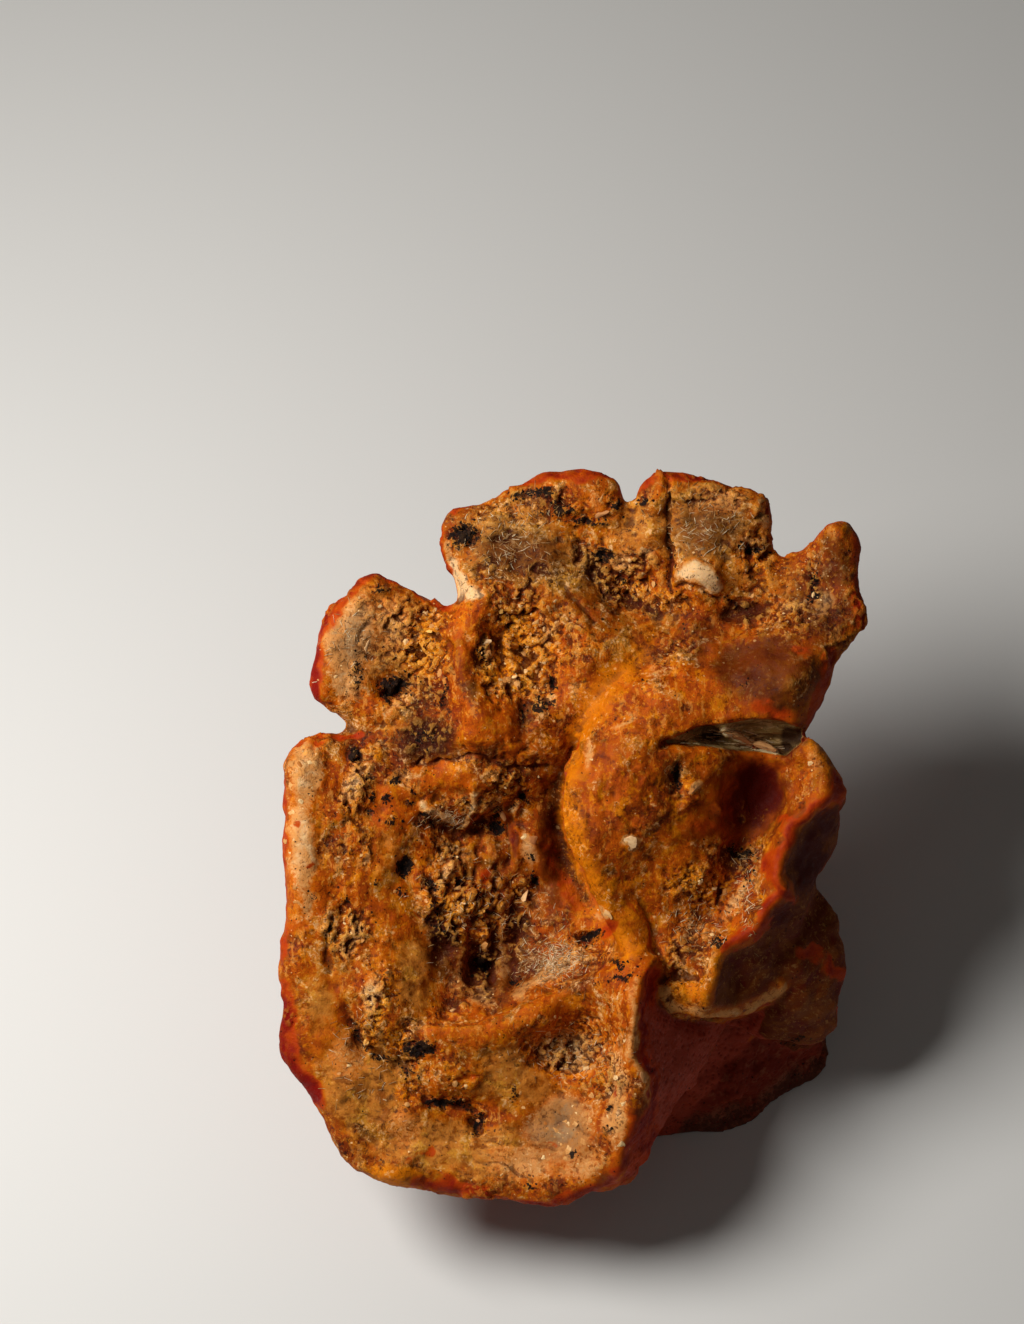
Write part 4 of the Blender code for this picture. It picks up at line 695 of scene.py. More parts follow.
def sculptSkin(skin):
    mesh = skin.data
    points, normals = meshArrays(mesh)
    seen = spread(mesh, seenFromFront(mesh), 2)
    standing = toStanding(points) * 1000.0
    height = standing[:, 2]
    share = {name: finishShare(points, name) * seen for name in shapingFinishes}
    walls = wallShare(mesh, points)
    rise = np.zeros(len(points))

    for line, halfWidth, tall in ridges:
        rise += tall * stroke(points, line, halfWidth) * seen
    waver = points + 0.6 * np.column_stack([
        layeredNoise(points, 2.4, 71, 2), layeredNoise(points, 2.4, 75, 2),
        np.zeros(len(points))])
    ragged = np.clip(0.75 + 0.6 * softNoise(points, 1.5, 79), 0.1, 1.4)
    for line, halfWidth, deep in grooves:
        rise -= deep * stroke(waver, line, halfWidth) * seen
    for u, v, halfU, halfV, deep in pits:
        rise -= 0.6 * deep * dab(waver, u, v, halfU, halfV, 0.0, 1.6) * ragged * seen

    # crust broken into chips and crumpled
    flaky = crustShare(points, share, walls) * seen
    bent = points + 0.5 * noiseShift(points, 1.3, 60)
    for order, (size, tall, crack) in enumerate(skinValues["chipSizes"]):
        gap, owner, offset = chips(bent, size, 100 + 20 * order)
        lift = hashed(owner, 7 + order) * 2.0 - 1.0
        tilt = np.column_stack([hashed(owner, 40 + 3 * order + k) for k in range(3)]) * 2.0 - 1.0
        chip = tall * lift + skinValues["chipTilt"] * (offset * tilt).sum(axis=1)
        chip -= crack * np.exp(-(gap / (skinValues["chipGap"] * size)) ** 2)
        rise += chip * flaky
    folds = points + 1.1 * noiseShift(points, 2.4, 600)
    for order, (size, tall) in enumerate(skinValues["crumple"]):
        rise += tall * layeredNoise(folds, size, 610 + 10 * order, 2, 0.7) * flaky

    rough = np.maximum(share["burntAndShade"], 0.7 * share["gold"]) * seen
    size, tall = skinValues["buckle"]
    rise += tall * layeredNoise(folds, size, 640, 2) * rough

    # soft lumps all over, fibres on the tan lobes, mud cracks on the swelling
    for order, (size, tall) in enumerate(skinValues["lumps"]):
        rise += tall * layeredNoise(points, size, 200 + 10 * order, 3)
    along, across = skinValues["fibreSize"]
    sweep = math.radians(skinValues["fibreTurn"])
    fibres = folds @ np.array([[math.cos(sweep) / along, math.sin(sweep) / across, 0.0],
                               [-math.sin(sweep) / along, math.cos(sweep) / across, 0.0],
                               [0.0, 0.0, 1.0 / along]])
    rise += skinValues["fibreHeight"] * layeredNoise(fibres, 1.0, 300, 2) * share["tan"]
    bowlU, bowlV = (points[:, :2] - skinValues["bowlMiddle"]).T
    around = np.column_stack([
        np.arctan2(bowlV, bowlU) * 4.0, np.hypot(bowlU, bowlV) / 1.1, points[:, 2] / 8.0])
    lobe = dab(points, 14.0, 4.0, 16.0, 24.0)
    rise += skinValues["bowlFibres"] * layeredNoise(around, 1.0, 330, 2) * lobe * seen
    gap, _, _ = chips(bent, skinValues["mudSize"], 500)
    mud = dab(points, -9.0, 15.5, 9.0, 3.4) + 0.5 * dab(points, 14.0, 6.0, 9.0, 12.0)
    rise -= skinValues["mudDepth"] * np.exp(-(gap / skinValues["mudGap"]) ** 2) * mud * seen
    size, tall = skinValues["swell"]
    rise += tall * layeredNoise(points, size, 400, 2)

    # blunt ribs run down under the cap, and the stem is gnarled
    turn = np.arctan2(standing[:, 1], standing[:, 0] - 15.0)
    ribs = np.column_stack([9.0 * np.cos(turn), 9.0 * np.sin(turn), height / 26.0])
    stem = loopShare(mesh, points, stemFront, 4)
    low = smoothStep((skinValues["stemTop"] - height) / 20.0) * np.maximum(1.0 - seen, stem)
    under = (1.0 - seen) * (1.0 - low) * smoothStep((height - 20.0) / 20.0)
    rise += skinValues["foldRibs"] * layeredNoise(ribs, 1.4, 420, 2) * under
    knots = (points + 1.6 * noiseShift(points, 4.0, 430)) * np.array([0.75, 1.0, 1.0])
    for order, (size, tall) in enumerate(skinValues["gnarl"]):
        rise += tall * layeredNoise(knots, size, 440 + 5 * order, 2) * low
    size, tall = skinValues["stemGrain"]
    rise += tall * layeredNoise(knots, size, 450, 2, 0.7) * low

    # torn wedge at the left of the top lobe, and the slit
    wedge = loopShare(mesh, waver, tornWedge, 1) * seen
    rise = rise * (1.0 - wedge) + (0.25 * shredNoise(points[:, [1, 0, 2]], 455) - 0.9) * wedge
    flap = loopShare(mesh, waver, paleFlap, 1) * seen
    rise = rise * (1.0 - flap) + (0.5 + 0.35 * layeredNoise(points, 2.2, 457, 2)) * flap
    slit = tearShare(points) * seen
    inside = 0.5 * shredNoise(points, 460) - 0.5 + 2.0 * stroke(points, tear["tooth"], 0.8)
    inside += 0.4 * stroke(points, tear["shelf"], 0.7) - 1.6 * dab(points, *tear["hole"])
    rise = rise * (1.0 - slit) + inside * slit

    points += normals * (rise * smoothStep(height / 2.0))[:, None]    # the cut stays flat
    standing = toStanding(points)
    outside = toStanding(points + normals)[:, 2]
    flat = (standing[:, 2] < 0.0006) & (outside < standing[:, 2] - 0.0006)
    standing[flat, 2] = 0.0
    standing[:, 2] = np.maximum(standing[:, 2], 0.0)
    setPoints(mesh, toDrawn(standing))
    return seen


def thinSkin(skin, seen):
    group = skin.vertex_groups.new(name="thin")
    weights = np.round(np.clip(1.0 - 0.8 * seen, 0.2, 1.0), 1)
    for level in np.unique(weights):
        group.add(np.flatnonzero(weights == level).tolist(), float(level), "REPLACE")
    count = len(triangleCorners(skin.data))
    share = skinValues["triangles"] / count
    print("sculpted triangles", count, "kept share", round(share, 3))
    if share < 1.0:
        thin = skin.modifiers.new("thin", "DECIMATE")
        thin.ratio = share
        thin.use_collapse_triangulate = True
        thin.vertex_group = group.name
        thin.vertex_group_factor = skinValues["hiddenShare"]
        bpy.ops.object.modifier_apply(modifier=thin.name)
    skin.vertex_groups.clear()


def markSkin(skin):
    # where each finish lies, kept on the points for the material
    mesh = skin.data
    points, normals = meshArrays(mesh)
    seen = spread(mesh, seenFromFront(mesh), 2)
    reach = np.clip(1.6 * spread(mesh, seen, 5), 0.0, 1.0)     # goes a little way round the rims
    height = toStanding(points)[:, 2] * 1000.0
    wander = points + 0.8 * np.column_stack(
        [layeredNoise(points, 3.0, 90 + k, 2) for k in range(3)])
    facing = spread(mesh, normals[:, 2].copy(), 3)
    front = insideLoop(wander, stemFront) * seen
    wall = np.maximum(insideLoop(wander, pinkWall), front)
    outer = insideLoop(wander, outerWall) * reach * (1.0 - 0.8 * stroke(points, lipLine, 1.8))
    wedge = loopShare(mesh, points, tornWedge, 1) * seen
    flap = loopShare(mesh, points, paleFlap, 1) * seen
    slit = tearShare(points) * seen

    share = {name: finishShare(points, name) * (reach if name in ("red", "shade") else seen)
             for name in finishes}
    marks = {"flaky": crustShare(points, share, wallShare(mesh, points)) * seen * (1.0 - slit)}
    marks.update({name: values * (1.0 - slit) for name, values in share.items()})
    for name in ("gold", "burntAndShade", "tan", "fold", "soil", "brownAndShade", "shade"):
        marks[name] = marks[name] * (1.0 - wedge) * (1.0 - flap)
    marks["flaky"] = marks["flaky"] * (1.0 - flap)
    bright = np.maximum(1.2 * stroke(points, tear["tooth"], 0.8),
                        0.55 * stroke(points, tear["shelf"], 0.5))
    marks["cream"] = np.maximum(marks["cream"], np.maximum(wedge + flap, bright * slit) * 1.3)
    # painted shade: the slit's hole and right end are darkened
    for name in ("hole", "end"):
        marks["burntAndShade"] = np.maximum(marks["burntAndShade"], 1.3 * dab(points, *tear[name]) * slit)
    marks["flesh"] = slit
    marks["pink"] = spread(mesh, np.maximum(wall, smoothStep((0.12 - facing) / 0.3)), 2)
    marks["pink"] = np.maximum(marks["pink"], 1.0 - seen)
    marks["hidden"] = 1.0 - reach
    marks["bulge"] = spread(mesh, outer, 9)
    stemSide = np.maximum(1.0 - seen, front)
    fade = 9.0 * layeredNoise(points, 12.0, 95, 3)
    stalk = smoothStep((skinValues["stemTop"] - height + fade) / 30.0)
    marks["stalk"] = spread(mesh, stalk * stemSide, 4)
    marks["foot"] = spread(mesh, smoothStep((11.0 - height + 0.5 * fade) / 12.0) * stemSide, 2)
    margin = smoothStep((0.45 - facing) / 0.5) * smoothStep((facing + 0.75) / 0.5)
    margin = spread(mesh, margin, 2)
    margin *= smoothStep((height - 40.0) / 14.0) * (1.0 - outer) * (1.0 - wall)
    margin = margin * smoothStep((0.95 - spread(mesh, seen, 10)) / 0.3)
    patchy = np.clip(0.15 + 1.2 * layeredNoise(points, 7.0, 97, 3), 0.0, 1.0)
    marks["red"] = np.maximum(marks["red"], margin * patchy)
    marks["cut"] = ((height < 0.05) & (normals @ np.array([0.0, -cosTilt, -sinTilt]) > 0.9)) * 1.0
    # how far each point sinks below its neighbours: it drives painted shade in creases and hollows
    # and painted highlights on raised edges
    for name, passes, gain in (("creviceShading", 3, 2.6), ("hollowShade", 26, 0.6)):
        sunk = ((spread(mesh, points, passes) - points) * normals).sum(axis=1)
        marks[name] = np.clip(0.5 + gain * sunk, 0.0, 1.0)
    for name, values in marks.items():
        layer = mesh.attributes.new(name, "FLOAT", "POINT")
        layer.data.foreach_set("value", values.astype(np.float32))
    return list(marks)


# Materials

def linear(hexColour):
    # sRGB hex to the linear colour that a socket takes
    parts = [int(hexColour[k:k + 2], 16) / 255.0 for k in (0, 2, 4)]
    return tuple(c / 12.92 if c <= 0.04045 else ((c + 0.055) / 1.055) ** 2.4
                 for c in parts) + (1.0,)


def addNode(tree, kind, inputs=None, **settings):
    node = tree.nodes.new("ShaderNode" + kind)
    for name, value in settings.items():
        setattr(node, name, value)
    for key, value in (inputs or {}).items():
        if isinstance(value, bpy.types.NodeSocket):
            tree.links.new(value, node.inputs[key])
        else:
            node.inputs[key].default_value = value
    return node


def perMm(size):
    # scale of a pattern whose features are this many millimetres apart, on metre coordinates
    return 1000.0 / size


crust = {
    "base": "6a290b",
    "roughness": (0.42, 0.85),
    "sheen": 0.1,
    "depth": 0.1,           # how much light goes in under the surface
    "depthByColour": (1.0, 0.4, 0.15),
    "depthReach": 0.0012,   # m
    "bump": (0.7, 0.00035),     # strength, height in m
    "toothOnFlaky": (0.6, 3.6),     # of the fine bump: on calm and on flaky crust
    "swirl": 1.8,           # mm, bends the streaks, cracks and specks
    "noises": {             # size in mm, detail, roughness, distortion
        "broad": (9.0, 4.0, 0.6, 0.6),
        "mottle": (5.0, 5.0, 0.66, 0.8),
        "middle": (2.6, 5.0, 0.62, 0.5),
        "fine": (0.85, 4.0, 0.7, 0.6),
        "grain": (0.36, 2.0, 0.6, 0.0),
    },
    "lines": {              # mm across, squeeze, turn
        "streaks": (0.8, (0.26, 1.0, 1.0), 0.2),     # along the top lobes
        "runs": (1.2, (1.0, 0.3, 0.4), -0.1),        # down the cap
    },
    "hue": 0.4965,
    "saturation": 1.05,
    "cracks": 2.8,          # mm between hair cracks
    "pimple": 1.1,          # mm between the crust's pimples
    "spots": {              # mm between, noise that gathers them, how rare
        "specks": (0.75, "broad", -0.31),
        "grit": (1.5, "broad", -0.36),
        "flecks": (0.9, "middle", -0.32),
        "flakes": (2.1, "broad", -0.4),
    },
}
# Layers from the bottom up: colour, mark, pattern that frays its edge and by how much, where it
# starts and is full, its strength, and the mark or pattern it is kept within.
crustLayers = [
    ("b4540f", None, "broad", 1.0, 0.3, 0.56, 1.0, None),             # orange over deep brown
    ("d07a18", None, "middle", 1.0, 0.52, 0.64, 0.8, None),
    ("84320a", None, "mottle", 1.0, 0.46, 0.4, 0.8, "plain"),
    ("c88c48", None, "mottle", 1.0, 0.54, 0.6, 0.65, "plain"),
    ("7a2a08", None, "runs", 1.0, 0.45, 0.37, 0.65, "plain"),
    ("e09c54", None, "runs", 1.0, 0.55, 0.63, 0.55, "plain"),
    ("d07614", "fold", "middle", 0.9, 0.25, 0.85, 0.9, None),
    ("6a2c0c", None, "broad", 1.0, 0.44, 0.34, 0.5, None),
    ("bc7a3a", "tan", "middle", 1.3, 0.2, 0.8, 0.9, None),
    ("d89a40", None, "mottle", 1.0, 0.5, 0.6, 0.75, "tan"),
    ("6e3412", None, "middle", 1.0, 0.49, 0.39, 0.75, "tan"),
    ("d8a864", "tan", "streaks", 2.4, 0.75, 1.15, 0.7, "grained"),
    ("4a200c", None, "streaks", 1.0, 0.45, 0.34, 0.6, "grained"),
    # browner areas, partly painted shade
    ("642a0a", "brownAndShade", "mottle", 1.1, 0.25, 0.95, 0.6, None),
    # painted shade in the shadowed hollows and edges
    ("641606", "shade", "middle", 0.9, 0.3, 0.9, 0.9, None),
    # dark crust, and painted shade in the hollows
    ("3c1a0b", "burntAndShade", "middle", 1.5, 0.35, 0.85, 0.85, None),
    ("983e06", "gold", "middle", 1.0, 0.3, 0.6, 0.9, None),
    ("d87c18", "gold", "fine", 2.6, 0.3, 0.9, 0.9, None),
    ("f4ac48", "gold", "fine", 3.4, 0.9, 1.4, 0.85, None),
    ("d0783a", "cream", "middle", 1.0, 0.2, 0.5, 0.6, None),
    ("d09458", "cream", "fine", 1.1, 0.35, 0.75, 0.9, None),
    ("e6c08c", "cream", "middle", 1.6, 0.8, 1.25, 0.85, None),
    ("4a1c08", None, "fine", 1.0, 0.44, 0.37, 0.7, "plain"),          # its fine mottling
    ("eaa450", None, "fine", 1.0, 0.57, 0.67, 0.6, "plain"),
    ("ecc08c", None, "fine", 1.0, 0.52, 0.6, 0.75, "pale"),
    ("28100a", None, "fine", 1.0, 0.47, 0.42, 0.8, "dirty"),
    ("3e160a", None, "fine", 1.0, 0.47, 0.36, 0.85, "flaky"),         # flaky crust, dark to pale
    ("f0a454", None, "fine", 1.0, 0.56, 0.66, 0.8, "flaky"),
    ("4a1a0a", None, "grain", 1.0, 0.45, 0.33, 0.6, "flaky"),
    ("fcd494", None, "grain", 1.0, 0.58, 0.7, 0.7, "flaky"),
    ("341206", "brownAndShade", "middle", 1.2, 0.2, 1.0, 0.55, None),           # painted shade: the cap's hollows and turned-away slopes darkened
    ("480c04", "shade", "middle", 0.9, 0.4, 1.1, 0.7, None),
    # the right lobe's outer wall: its own olive-tan and dark red, darkened further as painted shade
    ("602a12", "bulge", "middle", 0.5, 0.3, 0.7, 0.95, None),
    ("7c441e", None, "mottle", 1.0, 0.48, 0.58, 0.8, "bulge"),
    ("5e1a0e", None, "mottle", 1.0, 0.46, 0.36, 0.85, "bulge"),
    ("a87a4a", None, "fine", 1.0, 0.54, 0.66, 0.6, "bulge"),
    # painted shade on the outer wall under the rim
    ("480e06", "shade", "middle", 0.9, 0.3, 0.9, 0.9, "bulge"),
    ("a44a36", "pink", "middle", 0.5, 0.35, 0.7, 1.0, None),
    ("b85c26", "hidden", "broad", 2.6, 0.3, 1.1, 0.8, "hidden"),      # the unseen sides
    ("c48c60", None, "mottle", 1.0, 0.54, 0.7, 0.5, "hidden"),
    ("983c24", None, "middle", 1.0, 0.48, 0.66, 0.6, "pink"),
    ("74381a", "bulge", "middle", 0.9, 0.45, 0.85, 0.6, "hidden"),
    ("742a18", "stalk", "mottle", 1.2, 0.25, 1.1, 0.9, None),
    ("a8684c", None, "middle", 1.0, 0.54, 0.68, 0.5, "stalk"),
    ("9a6248", "foot", "mottle", 1.6, 0.35, 0.8, 0.55, None),
    ("3c1c12", "foot", "fine", 1.6, 0.5, 0.8, 0.7, None),
    ("702418", None, "pimples", 1.0, 0.32, 0.1, 0.7, "pink"),
    ("ac3e10", "red", "middle", 1.0, 0.3, 0.65, 0.9, None),
    ("78160a", "red", "mottle", 1.1, 0.55, 1.0, 0.95, None),
    ("ecac58", None, "creviceShading", 1.0, 0.45, 0.2, 0.6, "flaky"),        # painted highlights on raised edges, painted shade in creases and hollows
    ("421a0a", None, "creviceShading", 1.0, 0.57, 0.85, 0.7, "plain"),
    ("4a1a0a", None, "hollowShade", 1.0, 0.6, 0.95, 0.5, "plain"),
    ("5a1c10", None, "creviceShading", 1.0, 0.58, 1.0, 0.4, "pink"),
    ("6a2a16", None, "hollowShade", 1.0, 0.62, 1.0, 0.35, "pink"),
    ("8e7040", "flesh", "middle", 0.3, 0.3, 0.6, 1.0, None),          # pale flesh in the tear
    ("c4a470", None, "streaks", 1.0, 0.46, 0.6, 0.8, "flesh"),
    # painted shade in the creases of the torn flesh
    ("4a2c16", None, "creviceShading", 1.0, 0.6, 0.85, 0.6, "flesh"),
    # painted shade at the slit's hole and right end
    ("2a140a", "burntAndShade", "fine", 0.4, 0.5, 0.9, 0.9, "flesh"),
    ("eed6a4", "cream", "fine", 0.5, 0.55, 0.85, 1.0, "flesh"),
    ("f0c080", None, "flakes", 1.0, 0.0, 0.05, 0.85, "plain"),
    ("f0c488", None, "flecks", 1.0, 0.0, 0.05, 0.85, "plain"),
    ("120c09", "soil", "fine", 2.6, 0.62, 0.78, 0.97, None),
    ("30160a", None, "cracks", 1.0, 0.03, 0.008, 0.6, "sparse"),
    ("160d09", None, "grit", 1.0, 0.0, 0.05, 0.9, "plain"),
    ("120c09", None, "specks", 1.0, 0.0, 0.06, 0.85, None),
    ("ead6b2", "cut", "fine", 0.1, 0.4, 0.6, 1.0, None),
]


def mushroomCrust(markNames):
    # Lobster mushroom crust: a matt, waxy orange rind over pale flesh, grown over with pimples,
    # cracked, and stained with soil. It gives soft colour under the surface and a weak sheen.
    material = bpy.data.materials.new("mushroomCrust")
    material.use_nodes = True
    tree = material.node_tree
    shader = tree.nodes["Principled BSDF"]
    place = addNode(tree, "TexCoord").outputs["Object"]
    source = {name: addNode(tree, "Attribute", attribute_name=name).outputs["Fac"]
              for name in markNames}

    # noises at the crust's real sizes, and streaks that run along the lobes
    for name, (size, detail, rough, distortion) in crust["noises"].items():
        source[name] = addNode(tree, "TexNoise", {
            "Vector": place, "Scale": perMm(size), "Detail": detail, "Roughness": rough,
            "Distortion": distortion}).outputs["Fac"]
    swirl = addNode(tree, "TexNoise", {
        "Vector": place, "Scale": perMm(crust["swirl"]), "Detail": 2.0})
    bent = addNode(tree, "VectorMath", {0: swirl.outputs["Color"], 1: (0.001, 0.001, 0.001),
                                        2: place}, operation="MULTIPLY_ADD").outputs[0]
    for name, (size, squeeze, turn) in crust["lines"].items():
        along = addNode(tree, "Mapping", {"Vector": bent, "Rotation": (0.0, 0.0, turn),
                                          "Scale": squeeze}).outputs[0]
        source[name] = addNode(tree, "TexNoise", {
            "Vector": along, "Scale": perMm(size), "Detail": 3.0, "Roughness": 0.65}).outputs["Fac"]

    # hair cracks, pimples, and specks of several sizes
    source["cracks"] = addNode(tree, "TexVoronoi", {
        "Vector": bent, "Scale": perMm(crust["cracks"])},
        feature="DISTANCE_TO_EDGE").outputs["Distance"]
    source["pimples"] = addNode(tree, "TexVoronoi", {
        "Vector": place, "Scale": perMm(crust["pimple"]), "Randomness": 0.75}).outputs["Distance"]
    for name, (size, gather, rarity) in crust["spots"].items():
        cells = addNode(tree, "TexVoronoi", {"Vector": bent, "Scale": perMm(size)})
        chance = addNode(tree, "SeparateColor", {0: cells.outputs["Color"]}).outputs[0]
        reach = addNode(tree, "Math", {0: chance, 1: source[gather], 2: rarity},
                        operation="MULTIPLY_ADD").outputs[0]
        source[name] = addNode(tree, "Math", {0: reach, 1: cells.outputs["Distance"]},
                               operation="SUBTRACT").outputs[0]

    # the plain crust, neither rim, wall, stem nor painted shade, and the parts that crack
    walls = source["pink"]
    for name in ("bulge", "red", "shade"):
        walls = addNode(tree, "Math", {0: walls, 1: source[name]}, operation="ADD").outputs[0]
    plain = addNode(tree, "MapRange", {"Value": walls, "From Min": 0.5, "From Max": 0.1}).outputs[0]
    for name, low, whole in (("plain", 0.5, plain), ("grained", 0.1, source["tan"])):
        calm = addNode(tree, "MapRange", {"Value": source["smooth"], "To Min": 1.0, "To Max": low})
        source[name] = addNode(tree, "Math", {0: whole, 1: calm.outputs[0]},
                               operation="MULTIPLY").outputs[0]
    for name, pattern, low, high in (
        ("sparse", "mottle", 0.54, 0.66), ("pale", "mottle", 0.52, 0.62),
        ("dirty", "broad", 0.47, 0.4),
    ):
        part = addNode(tree, "MapRange", {"Value": source[pattern], "From Min": low,
                                          "From Max": high}).outputs[0]
        source[name] = addNode(tree, "Math", {0: part, 1: source["plain"]},
                               operation="MULTIPLY").outputs[0]

    colour = linear(crust["base"])
    for paint, mark, pattern, sway, low, high, top, within in crustLayers:
        middle = 0.5 * sway if mark else 0.0
        value = source[pattern]
        if mark:
            value = addNode(tree, "Math", {0: value, 1: sway, 2: source[mark]},
                            operation="MULTIPLY_ADD").outputs[0]
        mask = addNode(tree, "MapRange", {
            "Value": value, "From Min": low + middle, "From Max": high + middle, "To Max": top,
        }, interpolation_type="SMOOTHSTEP").outputs[0]
        if within:
            mask = addNode(tree, "Math", {0: mask, 1: source[within]}, operation="MULTIPLY",
                           use_clamp=True).outputs[0]
        colour = addNode(tree, "Mix", {0: mask, 6: colour, 7: linear(paint)},
                         data_type="RGBA").outputs[2]
    colour = addNode(tree, "HueSaturation", {
        "Hue": crust["hue"], "Saturation": crust["saturation"], "Color": colour})
    tree.links.new(colour.outputs[0], shader.inputs["Base Color"])

    low, high = crust["roughness"]
    rough = addNode(tree, "MapRange", {"Value": source["fine"], "From Min": 0.3, "From Max": 0.7,
                                       "To Min": low, "To Max": high}).outputs["Result"]
    tree.links.new(rough, shader.inputs["Roughness"])
    for name, value in (
        ("Specular IOR Level", crust["sheen"]), ("Subsurface Weight", crust["depth"]),
        ("Subsurface Radius", crust["depthByColour"]),
        ("Subsurface Scale", crust["depthReach"]),
    ):
        shader.inputs[name].default_value = value

    # pimples on the walls, a fine tooth everywhere, and much more of it on the flaky crust
    height = addNode(tree, "Math", {0: source["grain"], 1: 0.6, 2: source["fine"]},
                     operation="MULTIPLY_ADD").outputs[0]
    low, high = crust["toothOnFlaky"]
    rugged = addNode(tree, "MapRange", {
        "Value": source["flaky"], "To Min": low, "To Max": high}).outputs[0]
    height = addNode(tree, "Math", {0: height, 1: rugged}, operation="MULTIPLY").outputs[0]
    knob = addNode(tree, "MapRange", {
        "Value": source["pimples"], "From Min": 0.1, "From Max": 0.5})
    height = addNode(tree, "Math", {0: knob.outputs[0], 1: source["pink"], 2: height},
                     operation="MULTIPLY_ADD").outputs[0]
    strength, reach = crust["bump"]
    bump = addNode(tree, "Bump", {"Height": height, "Strength": strength, "Distance": reach})
    tree.links.new(bump.outputs[0], shader.inputs["Normal"])
    return material


bits = {   # how many a square mm or in all, sizes in mm, height share, how deep they sit, seed
    "goldCrumbs": {"perMm2": 0.9, "sizes": (0.4, 1.7), "flat": 0.4, "sink": 0.2, "seed": 3},
    "soilCrumbs": {"perMm2": 3.4, "sizes": (0.25, 0.9), "flat": 0.7, "sink": 0.15, "seed": 5},
    "soilSpecks": {"count": 900, "sizes": (0.2, 0.55), "flat": 0.7, "sink": 0.2, "seed": 7},
    "paleFlakes": {"perMm2": 0.34, "sizes": (0.5, 2.0), "flat": 0.35, "sink": 0.12, "seed": 11},
    "fuzz": {"count": 1900, "sizes": (0.8, 2.4), "sink": 0.0, "seed": 13},
    "chosenBits": {"sink": 0.08, "seed": 17},
}
laying = {
    "steepest": 0.3,        # bits lie only where the skin's normal points at least this far up
    "standOut": 2.2,        # mm that the chosen bits stand out of the steep tear
    "gather": 0.58,         # how far from a patch's middle its bits stray
    "tearStrands": 46,
}
bitLooks = {   # dark, middle and pale colour, roughness
    "brokenGoldenCrust": ("7a3608", "c0721c", "e8b058", 0.75),
    "dryBlackSoil": ("0c0806", "1e120b", "3a2414", 0.95),
    "driedPaleFlesh": ("a86428", "d49a58", "f0cc90", 0.85),
    "fuzzyThreads": ("7a4a20", "c09660", "f0dcb4", 0.9),
    "brightPaleFlesh": ("b87440", "d4a064", "e2b884", 0.85),
}
fuzzPlaces = [   # u, v, half u, half v, share of the fuzz
    (-1, -22, 5, 3.4, 0.3), (-9, 54, 9, 6, 0.14), (26, 57, 8, 6, 0.12), (-20, 4, 4, 1.6, 0.06),
    (-14, -12, 9, 7, 0.14), (2, -39, 8, 4, 0.1), (-37, 36, 5, 6, 0.06), (34, -10, 2, 6, 0.06),
    (-36, -40, 6, 8, 0.06), (25, -15, 5, 4, 0.06),
]
chosenBits = [   # u, v, length, width, height, turn of the pale bits that can be told apart
    (7.5, 59.2, 3.2, 1.2, 1.1, 22), (32.4, 18.9, 6, 1.6, 3.2, -33), (37, 17.2, 5.4, 1.4, 1.2, -20),
    (-19.4, -31, 1.6, 0.8, 0.6, 20), (-15, -51, 1.4, 0.8, 0.5, -60), (5.6, 16.4, 2.6, 0.8, 0.5, 76),
    (12, -0.4, 4.6, 2.8, 0.8, -8), (-4.6, 0.4, 2.6, 1.8, 0.8, 60), (8.6, -13.4, 2.6, 1.2, 0.8, -50),
    (-10.8, 5.4, 4.8, 1, 0.7, -66), (25, 9.4, 2.8, 0.9, 0.6, 40), (-20.5, 4.2, 4.6, 1.4, 0.8, -14),
    (-6.4, -10, 2.6, 1.4, 0.8, 70), (15.2, -43.4, 1.2, 3.2, 0.6, 15), (-35, 35.2, 3, 1, 0.7, 70),
    (-13.4, 36, 2.2, 1, 0.6, 20),
]


def takeShape(piece):
    # keeps a modelled bit's points and triangles and drops the object
    corners = triangleCorners(piece.data)
    points, _ = meshArrays(piece.data)
    bpy.data.objects.remove(piece, do_unlink=True)
    return points, corners


def crumbShapes(count, fineness, unevenness, seed):
    # a few broken bits, each made once: a small ball cut off flat on three sides
    shapes = []
    for k in range(count):
        bpy.ops.object.select_all(action="DESELECT")
        bpy.ops.mesh.primitive_ico_sphere_add(subdivisions=fineness, radius=0.5)
        bpy.ops.object.mode_set(mode="EDIT")
        bpy.ops.mesh.select_all(action="SELECT")
        bpy.ops.transform.vertex_random(offset=unevenness, seed=seed + k)
        for cut in range(3):
            angle = 2.1 * cut + 0.7 * k
            bpy.ops.mesh.select_all(action="SELECT")
            bpy.ops.mesh.bisect(
                plane_co=(0.3 * math.cos(angle), 0.3 * math.sin(angle), 0.1 * cut - 0.1),
                plane_no=(math.cos(angle), math.sin(angle), 0.5 * cut - 0.4),
                use_fill=True, clear_outer=True)
        bpy.ops.mesh.select_all(action="SELECT")
        bpy.ops.mesh.normals_make_consistent(inside=False)
        bpy.ops.object.mode_set(mode="OBJECT")
        shapes.append(takeShape(bpy.context.object))
    return shapes


def strandShapes(count, seed):
    # thin crooked strands with pointed ends
    shapes = []
    for k in range(count):
        bpy.ops.object.select_all(action="DESELECT")
        bpy.ops.mesh.primitive_ico_sphere_add(subdivisions=1, radius=0.5)
        strand = bpy.context.object
        bpy.ops.object.mode_set(mode="EDIT")
        bpy.ops.mesh.select_all(action="SELECT")
        bpy.ops.transform.vertex_random(offset=0.08, seed=seed + k)
        bpy.ops.object.mode_set(mode="OBJECT")
        points, corners = takeShape(strand)
        points[:, 1] += (1.5 + k) * (points[:, 0] ** 2 - 0.1) * (-1.0) ** k
        shapes.append((points, corners))
    return shapes


def bitSite(u, v, values, rng):
    small, large = values["sizes"]
    size = small + (large - small) * rng.random() ** 2.5
    width = size * rng.uniform(0.6, 1.0)
    return (u, v, size, width, size * values["flat"], 360.0 * rng.random())


